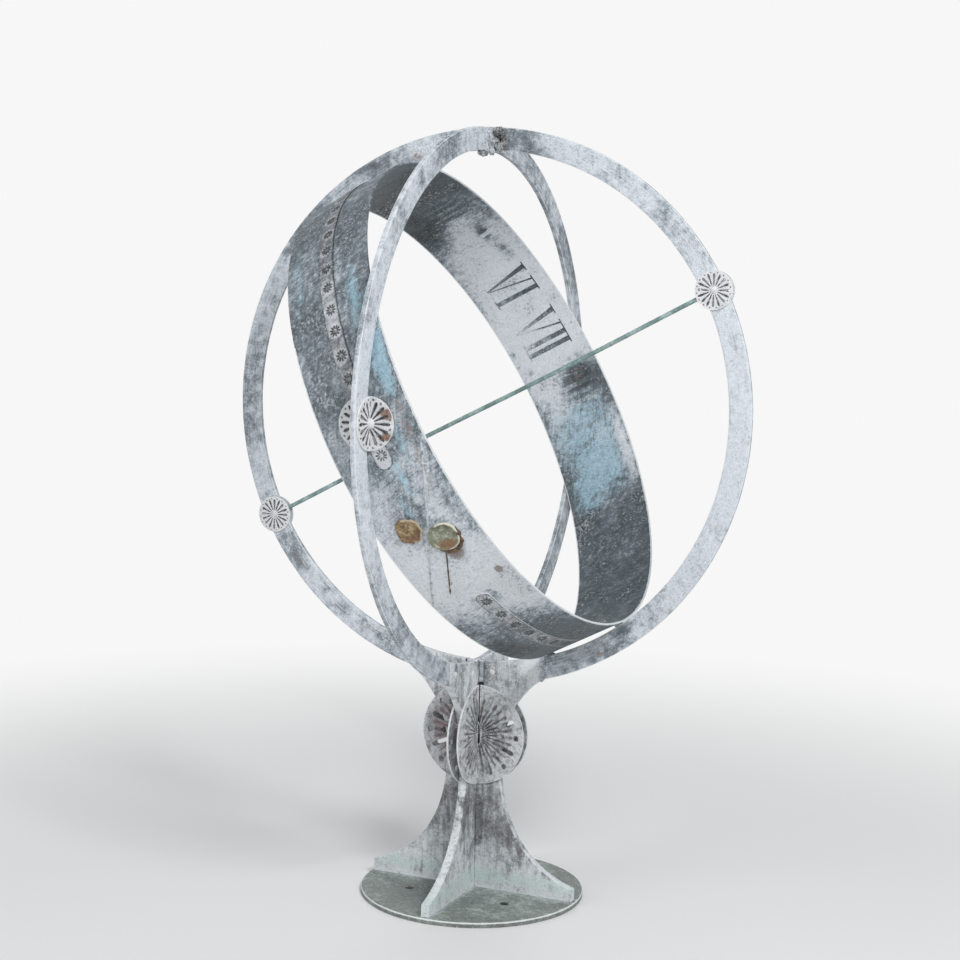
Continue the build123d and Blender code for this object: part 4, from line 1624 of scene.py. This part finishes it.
@dataclass
class SolderWork:
    """The lumps of solder at the crossings, and the two corroded pads on the band."""

    pad_radius: float = 13.5
    pad_rise: float = 2.2
    green_pad: Pair = (-62.2, 11.5)
    gold_pad: Pair = (-66.4, -15.5)
    tone: Triple = (0.55, 0.1, 0.12)
    pad_tone: Triple = (0.5, 0, 0.10)

    PAD_STAINS = (
        Stain((0, 9), (11, 7), pale=-0.1, brown=0.75),
        Stain((-8, 0), (4, 6), brown=0.3),
    )
    RUNS = (
        ("pale_run", ((-82.1, 44.5), (-74.7, 27.5), (-67.0, 7.5), (-59.0, -16.6), (-47.8, -49.5)),
         2.8, 0.7, (0.68, 0.05, 0.05), Palette.SOLDER),
        ("brown_run", ((-59.5, 5.0), (-56.8, -2.2), (-52.0, -16.0), (-49.0, -24.6)),
         1.7, 0.6, (0.0, 0.0, 0.45), Palette.GOLD_PAD),
        # A dark brown run hugging the green pad's rim: a painted shadow of the raised pad.
        ("green_pad_crevice", ((-63.2, 28.0), (-59.6, 25.0), (-58.3, 16.0), (-58.6, 6.0), (-60.5, 0.0)),
         4.2, 1.6, (0.05, 0.0, 0.5), Palette.GOLD_PAD),
    )

    def lump(self, mesh: bmesh.types.BMesh, place: Vector, size: Triple, seed: float,
             rough: float = 0.28) -> None:
        """Add one noisy lump at a place.

        Args:
            mesh: The mesh to add it to.
            place: Its centre.
            size: Its half lengths along x, y and z.
            seed: Shifts its noise.
            rough: The height of its noise, as a share of its size.
        """
        made = bmesh.ops.create_icosphere(mesh, subdivisions=4, radius=1.0)["verts"]
        for vertex in made:
            swell = 1 + rough * noise.fractal(vertex.co * 1.6 + Vector((seed, seed, 0)), 0.8, 2.2, 4)
            co = vertex.co * swell
            vertex.co = place + Vector((co.x * size[0], co.y * size[1], co.z * size[2]))

    def crown(self) -> None:
        """Heap the knuckle of solder where the rings cross at the top."""
        mesh = bmesh.new()
        top = CENTRE_HEIGHT + RING_MIDDLE
        chance = random.Random(7)
        for index, (x, y) in enumerate(((1, 1), (1, -1), (-1, 1), (-1, -1))):
            self.lump(mesh, Vector((x * 6.0, y * 5.5, top)), (6.0, 5.0, 11.5), 2.0 * index)
        for index in range(30):
            place = Vector((chance.uniform(-8, 25), chance.uniform(-7.0, -3.5),
                            top + chance.uniform(-16, 9)))
            self.lump(mesh, place, tuple(chance.uniform(2.6, 5.2) for _ in range(3)), 9.0 + index, 0.35)
        for vertex in mesh.verts:
            vertex.co.z = min(vertex.co.z, CENTRE_HEIGHT + RING_OUTER - SKIN)
        piece = Piece("crown_solder", mesh)
        stains = (Stain((17, -7, top + 3), (9, 8, 9), pale=-0.34),
                  Stain((0, -7, top), (9, 9, 14), pale=0.15))
        piece.tone = stained(piece.points(), stains, self.tone)
        piece.finish(Palette.SOLDER, ["crown_fillets"], 80.0)

    def beads(self) -> None:
        """Run a bead where each edge of the band meets each ring."""
        mesh = bmesh.new()
        reach = BAND_OUTER + 1.6
        for edge in (-1, 1):
            along = edge * (BAND_WIDTH / 2 - 6)
            for order, angle in enumerate((0.0, HALF_TURN)):
                place = on_band(angle, along, reach)
                place.y = 0
                self.lump(mesh, place, (5.0, 3.4, 3.4), 3 * edge + order, 0.35)
        for edge in (-1, 1):
            for side in (-1, 1):
                rise = edge * (BAND_WIDTH / 2 - 6) / math.sin(POLAR_ELEVATION)
                drop = rise * math.cos(POLAR_ELEVATION)
                place = Vector((0, side * math.sqrt(reach**2 - drop**2), CENTRE_HEIGHT + rise))
                self.lump(mesh, place, (3.4, 3.4, 6.0), edge + 2 * side, 0.3)
        piece = Piece("band_edge_solder", mesh)
        piece.paint(self.tone)
        piece.finish(Palette.SOLDER, ["band_solder_beads"], 80.0)

    def pad(self, piece: Piece, r: float, ragged: float, place: Pair) -> None:
        """Tone one turned pad, with a painted highlight on one side of its rim, make it ragged and bend it
        on to the band.

        Args:
            piece: The turned pad.
            r: Its radius.
            ragged: How far its outline strays, as a share of its radius.
            place: Its angle round the band, in degrees, and its offset along the axis.
        """
        flat = piece.points()
        reach = np.hypot(flat[:, 0], flat[:, 1])
        piece.tone = stained(flat[:, :2], self.PAD_STAINS, self.pad_tone)
        # Painted highlight: a pale crescent along one side of the pad's rim.
        piece.tone[:, 3] = np.where((reach > r - 1.6) & (flat[:, 0] > -2), 0.8, 0)
        shift = Vector((place[0], place[1], 0))
        for vertex in piece.mesh.verts:
            level = Vector((vertex.co.x, vertex.co.y, 0))
            if vertex.co.z > 0.2:
                bump = noise.fractal(level / 4.0 + shift, 0.8, 2.1, 5) - 0.3
                vertex.co.z += (0.35 + 2.4 * ragged) * bump
            wave = 1 + ragged * noise.fractal(level.normalized() * 0.9 + shift, 0.8, 2.3, 5)
            vertex.co.x *= wave
            vertex.co.y *= wave
        turn, along = math.radians(place[0]), place[1]
        piece.move(lambda co: on_band(turn + co.y / BAND_OUTER, along + co.x, BAND_OUTER + max(co.z, -0.8)))
        bmesh.ops.recalc_face_normals(piece.mesh, faces=piece.mesh.faces[:])

    def pads(self) -> None:
        """Make the two round pads left in the strap's break."""
        for name, place, grown, ragged, patina, nodes in (
            ("green_solder_pad", self.green_pad, 1.17, 0.08, Palette.GREEN_PAD, ["solder_pads"]),
            ("gold_solder_pad", self.gold_pad, 0.98, 0.22, Palette.GOLD_PAD, []),
        ):
            mesh = bmesh.new()
            r, rise = self.pad_radius * grown, self.pad_rise
            outline = [(0, -1.0), (r, -1.0), (r + 0.2, 0.1), (r, rise * 0.8), (r - 0.8, rise),
                       (r - 2.2, rise * 0.85), (r - 3.4, rise * 0.45), (0, rise * 0.7)]
            lathe(mesh, divided(outline, 0.7), 96)
            piece = Piece(name, mesh)
            self.pad(piece, r, ragged, place)
            piece.finish(patina, nodes, 60.0)

    def run(self, mesh: bmesh.types.BMesh, path: Sequence[Pair], width: float, rise: float,
            seed: float) -> None:
        """Lay a thin uneven run of solder along a path on the band's outer face.

        Args:
            mesh: The mesh to add it to.
            path: Angles round the band, in degrees, and offsets along its axis, in millimetres.
            width: Its mean width.
            rise: Its mean height.
            seed: Shifts its unevenness.
        """
        flat = divided([(math.radians(angle) * BAND_OUTER, along) for angle, along in path], 1.2)
        rows = []
        for index, (around, along) in enumerate(flat):
            following = flat[min(index + 1, len(flat) - 1)]
            before = flat[max(index - 1, 0)]
            ahead = Vector((following[0] - before[0], following[1] - before[1])).normalized()
            swell = 1 + 0.7 * noise.noise(Vector((index * 0.23, seed, 0)))
            taper = min(1.0, 0.25 + index * 0.25, 0.25 + (len(flat) - 1 - index) * 0.25)
            half = width / 2 * swell * taper
            row = []
            for share, height in ((-1, -0.5), (-0.6, 0.8), (0, 1.0), (0.6, 0.8), (1, -0.5)):
                x = (around - ahead.y * half * share) / BAND_OUTER
                lift = rise * swell * taper * height if height > 0 else -0.5
                row.append(mesh.verts.new(on_band(x, along + ahead.x * half * share, BAND_OUTER + lift)))
            rows.append(row)
        for first, second in zip(rows, rows[1:]):
            for index in range(5):
                after = (index + 1) % 5
                mesh.faces.new((first[index], first[after], second[after], second[index]))
        mesh.faces.new(rows[0])
        mesh.faces.new(list(reversed(rows[-1])))

    def runs(self) -> None:
        """Lay the pale run between the pads, the brown one below them and the dark run beside one, a
        painted shadow of the raised pad.
        """
        for name, path, width, rise, tone, patina in self.RUNS:
            mesh = bmesh.new()
            self.run(mesh, path, width, rise, len(name))
            bmesh.ops.recalc_face_normals(mesh, faces=mesh.faces[:])
            piece = Piece(name, mesh)
            piece.paint(tone)
            piece.finish(patina, [], 60.0)

    def cheek_end(self) -> None:
        """Heap the solder at the end of the saddle's north cheek."""
        mesh = bmesh.new()
        low, high, count = 251.5, 276.0, 9
        for index in range(count):
            share = index / (count - 1)
            reach = 79.5 - 3.0 * noise.noise(Vector((share * 5, 1, 0)))
            place = Vector((reach, -3.8 + 0.6 * (index % 2), low + share * (high - low)))
            self.lump(mesh, place, (3.4, 1.9, 2.8), 20.0 + index, 0.3)
        piece = Piece("cheek_end_solder", mesh)
        piece.paint((0.66, 0.0, 0.05))
        piece.finish(Palette.SOLDER, [], 80.0)

    def build(self) -> None:
        """Make all the solder."""
        self.crown()
        self.beads()
        self.pads()
        self.runs()
        self.cheek_end()


@dataclass
class GnomonRod:
    """The slightly bent rod on the polar axis, with its journals."""

    radius: float = 2.5
    journal_radius: float = 1.75
    journal_length: float = 8.0
    bend: float = 1.2

    def build(self) -> None:
        """Turn the rod, bend it a little and dress it."""
        half = RING_INNER - SEAT_CLEARANCE
        end = RING_INNER + self.journal_length
        thin = self.journal_radius
        outline = [(0, -end), (thin, -end), (thin, -half), (self.radius, -half), (self.radius, half),
                   (thin, half), (thin, end), (0, end)]
        mesh = bmesh.new()
        lathe(mesh, divided(outline, 3.0), 18)
        piece = Piece("polar_rod", mesh)
        flat = piece.points()
        roughen(mesh, 6.0, 0.25, 2.0)
        stains = (Stain((180,), (60,), pale=0.1), Stain((-120,), (50,), pale=-0.12))
        piece.tone = stained(flat[:, 2:], stains, (0.5, 0, 0))
        for vertex in mesh.verts:
            share = vertex.co.z / half
            if abs(share) < 1:
                vertex.co.x += self.bend * math.sin(HALF_TURN * share) * (1 - share**2)
        piece.move(lambda co: CENTRE + POLAR * co.z + LOWEST * co.x + WEST * co.y)
        bmesh.ops.recalc_face_normals(mesh, faces=mesh.faces[:])
        piece.finish(Palette.ROD, ["gnomon_rod"], body=Body.ROD)


@dataclass
class Studio:
    """The pale floor, the lamps and the camera."""

    azimuth: float = 23.81
    distance: float = 2013.0
    height: float = 680.0
    pitch: float = -6.07
    roll: float = 1.30
    yaw: float = 0.03
    lens: float = 1834.0 * 36 / 960
    sensor: float = 36.0
    world_strength: float = 0.42
    floor_reach: float = 6.0

    def camera(self) -> None:
        """Set the camera at the photograph's viewing angle."""
        turn = math.radians(self.azimuth)
        place = Vector((math.sin(turn) * self.distance, -math.cos(turn) * self.distance, self.height)) * MM
        pitch, roll = math.radians(self.pitch), math.radians(self.roll)
        turn += math.radians(self.yaw)
        level, fall = math.cos(pitch), math.sin(pitch)
        forward = Vector((-math.sin(turn) * level, math.cos(turn) * level, fall))
        right = forward.cross(UP).normalized()
        above = right.cross(forward)
        across = right * math.cos(roll) + above * math.sin(roll)
        upward = above * math.cos(roll) - right * math.sin(roll)
        data = bpy.data.cameras.new("camera")
        data.lens = self.lens
        data.sensor_width = self.sensor
        made = bpy.data.objects.new("camera", data)
        axes = Matrix((across, upward, -forward)).transposed()
        made.matrix_world = Matrix.Translation(place) @ axes.to_4x4()
        bpy.context.scene.collection.objects.link(made)
        bpy.context.scene.camera = made

    def lamp(self, name: str, place: Triple, size: float, power: float) -> None:
        """Hang one soft lamp that looks at the sphere."""
        data = bpy.data.lights.new(name, "AREA")
        data.size = size
        data.energy = power
        made = bpy.data.objects.new(name, data)
        made.location = place
        made.rotation_euler = (CENTRE * MM - Vector(place)).to_track_quat("-Z", "Y").to_euler()
        bpy.context.scene.collection.objects.link(made)

    def floor(self) -> None:
        """Lay the pale floor, which fades to white far from the object."""
        mesh = bmesh.new()
        bmesh.ops.create_circle(mesh, cap_ends=True, segments=96, radius=self.floor_reach)
        data = as_mesh(mesh, "floor")
        made = bpy.data.objects.new("floor", data)
        bpy.context.scene.collection.objects.link(made)
        graph = Graph("floor_paper")
        place = graph.tree.nodes.new("ShaderNodeTexCoord").outputs["Object"]
        length = graph.tree.nodes.new("ShaderNodeVectorMath")
        length.operation = "LENGTH"
        graph.join(place, length.inputs[0])
        fade = graph.step(length.outputs["Value"], 0.45, 1.5)
        graph.shader.inputs["Base Color"].default_value = (0.8, 0.8, 0.8, 1)
        graph.shader.inputs["Roughness"].default_value = 0.9
        glow = graph.tree.nodes.new("ShaderNodeEmission")
        glow.inputs["Color"].default_value = (0.93, 0.93, 0.93, 1)
        glow.inputs["Strength"].default_value = 1.0
        seen = graph.tree.nodes.new("ShaderNodeLightPath")
        rays = graph.math("MAXIMUM", seen.outputs["Is Camera Ray"], seen.outputs["Is Glossy Ray"])
        share = graph.math("MULTIPLY", fade, rays)
        blend = graph.tree.nodes.new("ShaderNodeMixShader")
        graph.join(share, blend.inputs["Fac"])
        graph.join(graph.shader.outputs["BSDF"], blend.inputs[1])
        graph.join(glow.outputs["Emission"], blend.inputs[2])
        graph.join(blend.outputs["Shader"], graph.output.inputs["Surface"])
        data.materials.append(graph.material)

    def world(self) -> None:
        """Light the object evenly, with a pale background."""
        world = bpy.data.worlds.new("studio")
        bpy.context.scene.world = world
        world.use_nodes = True
        tree = world.node_tree
        tree.nodes.clear()
        output = tree.nodes.new("ShaderNodeOutputWorld")
        light = tree.nodes.new("ShaderNodeBackground")
        light.inputs["Color"].default_value = (0.96, 0.98, 1.0, 1)
        light.inputs["Strength"].default_value = self.world_strength
        pale = tree.nodes.new("ShaderNodeBackground")
        pale.inputs["Color"].default_value = (0.93, 0.93, 0.93, 1)
        seen = tree.nodes.new("ShaderNodeLightPath")
        rays = tree.nodes.new("ShaderNodeMath")
        rays.operation = "MAXIMUM"
        tree.links.new(seen.outputs["Is Camera Ray"], rays.inputs[0])
        tree.links.new(seen.outputs["Is Transmission Ray"], rays.inputs[1])
        blend = tree.nodes.new("ShaderNodeMixShader")
        tree.links.new(rays.outputs[0], blend.inputs["Fac"])
        tree.links.new(light.outputs["Background"], blend.inputs[1])
        tree.links.new(pale.outputs["Background"], blend.inputs[2])
        tree.links.new(blend.outputs["Shader"], output.inputs["Surface"])

    def build(self) -> None:
        """Set up the whole studio."""
        bpy.context.scene.view_settings.view_transform = "Standard"
        self.camera()
        self.floor()
        self.world()
        self.lamp("key", (1.7, -1.5, 2.3), 0.8, 52.0)
        self.lamp("fill", (-1.6, -2.2, 1.2), 1.6, 16.0)
        self.lamp("back", (-0.8, 2.2, 2.0), 1.6, 14.0)


def hoops() -> List[Hoop]:
    """Return the meridian ring and the two halves of the colure ring. Stains lie by angle and side."""
    meridian = Hoop("meridian_hoop", "meridian_ring", NORTH, -QUARTER_TURN, FULL_TURN,
                    base=(0.66, 0.06, 0.02))
    meridian.stains = (
        Stain((83, 0, 1), (7, 30, 1), pale=-0.20),
        Stain((60, 0, 1), (14, 30, 1), pale=0.05),
        Stain((5, 0, 1), (24, 30, 1), pale=0.16),
        Stain((-30, 0, 1), (20, 30, 1), pale=0.10),
        Stain((-53, -6, 1), (3, 6, 1), pale=-0.35),
        Stain((-61, 3, 1), (6, 8, 1), pale=-0.12, green=0.35, brown=0.50),
        Stain((-71, 0, 1), (6, 30, 1), pale=-0.05, green=0.15),
        Stain((107, -8, 1), (3, 9, 1), brown=0.6),
        Stain((117, 2, 1), (4, 12, 1), pale=-0.25, brown=0.2),
        Stain((135, 8, 1), (14, 8, 1), pale=-0.24),
        Stain((172, 0, 1), (25, 30, 1), green=0.22),
        Stain((-141, 2, 1), (3.5, 8, 1), pale=-0.2, brown=0.5),
        Stain((-150, 0, 1), (14, 30, 1), green=0.15),
    )
    gap = 0.0105  # the angle from the middle of the meridian ring to a half ring's end
    east = Hoop("colure_hoop_east", "colure_ring_east", WEST, QUARTER_TURN + gap, HALF_TURN - 2 * gap,
                seed=4.0, base=(0.66, 0.05, 0.02))
    east.stains = (
        Stain((180, 0, 1), (24, 30, 1), pale=0.14),
        Stain((-180, 0, 1), (24, 30, 1), pale=0.14),
        Stain((112, 0, 1), (14, 30, 1), pale=-0.10, brown=0.1),
        Stain((-132, 0, 1), (14, 30, 1), green=0.2),
    )
    west = Hoop("colure_hoop_west", "colure_ring_west", WEST, -QUARTER_TURN + gap, HALF_TURN - 2 * gap,
                seed=8.0, base=(0.58, 0.10, 0.02))
    return [meridian, east, west]


def straps() -> List[StarStrap]:
    """Return the two stumps of the near side's strap and the whole strap of the far side."""
    star_pitch = 5.4
    near_stars = (-165.6, -160.1, -154.6, -149.1, -143.6, -138.1, -132.6, -126.9, -121.7, -116.0, -110.9,
                  -105.1, -99.8, -94.3, -88.8, -82.9)
    upper = StarStrap("upper_star_strap_east", "star_strap_east_upper", -174.0, -80.0, near_stars)
    upper.stains = (Stain((-108, 0), (20, 12), pale=0.12), Stain((-82, 0), (8, 12), pale=0.30))
    lower = StarStrap("lower_star_strap_east", "star_strap_east_lower", -46.0, -6.0,
                      [-43.3 + star_pitch * k for k in range(7)], base=(0.62, 0.0, 0.12), edge_shine=0.9)
    # Painted shade: the lower strap is darkened towards its end near the band's lowest point, where the
    # band turns into shade.
    lower.stains = (Stain((-30, 0), (12, 12), pale=-0.18), Stain((-8, 0), (10, 12), pale=-0.4))
    far = StarStrap("star_strap_whole_west", "star_strap_west", 6.0, 174.0,
                    [9.0 + star_pitch * k for k in range(31)])
    return [upper, lower, far]


def main() -> None:
    """Build the armillary sphere piece by piece, and set the studio."""
    logging.basicConfig(level=logging.INFO, format="%(message)s")
    for part in [Studio(), *hoops(), DialBand(), *straps(), CrossingRosettes(), PoleRosettes(),
                 Medallions(), Pedestal(), SolderWork(), GnomonRod()]:
        part.build()


if __name__ == "__main__":
    main()
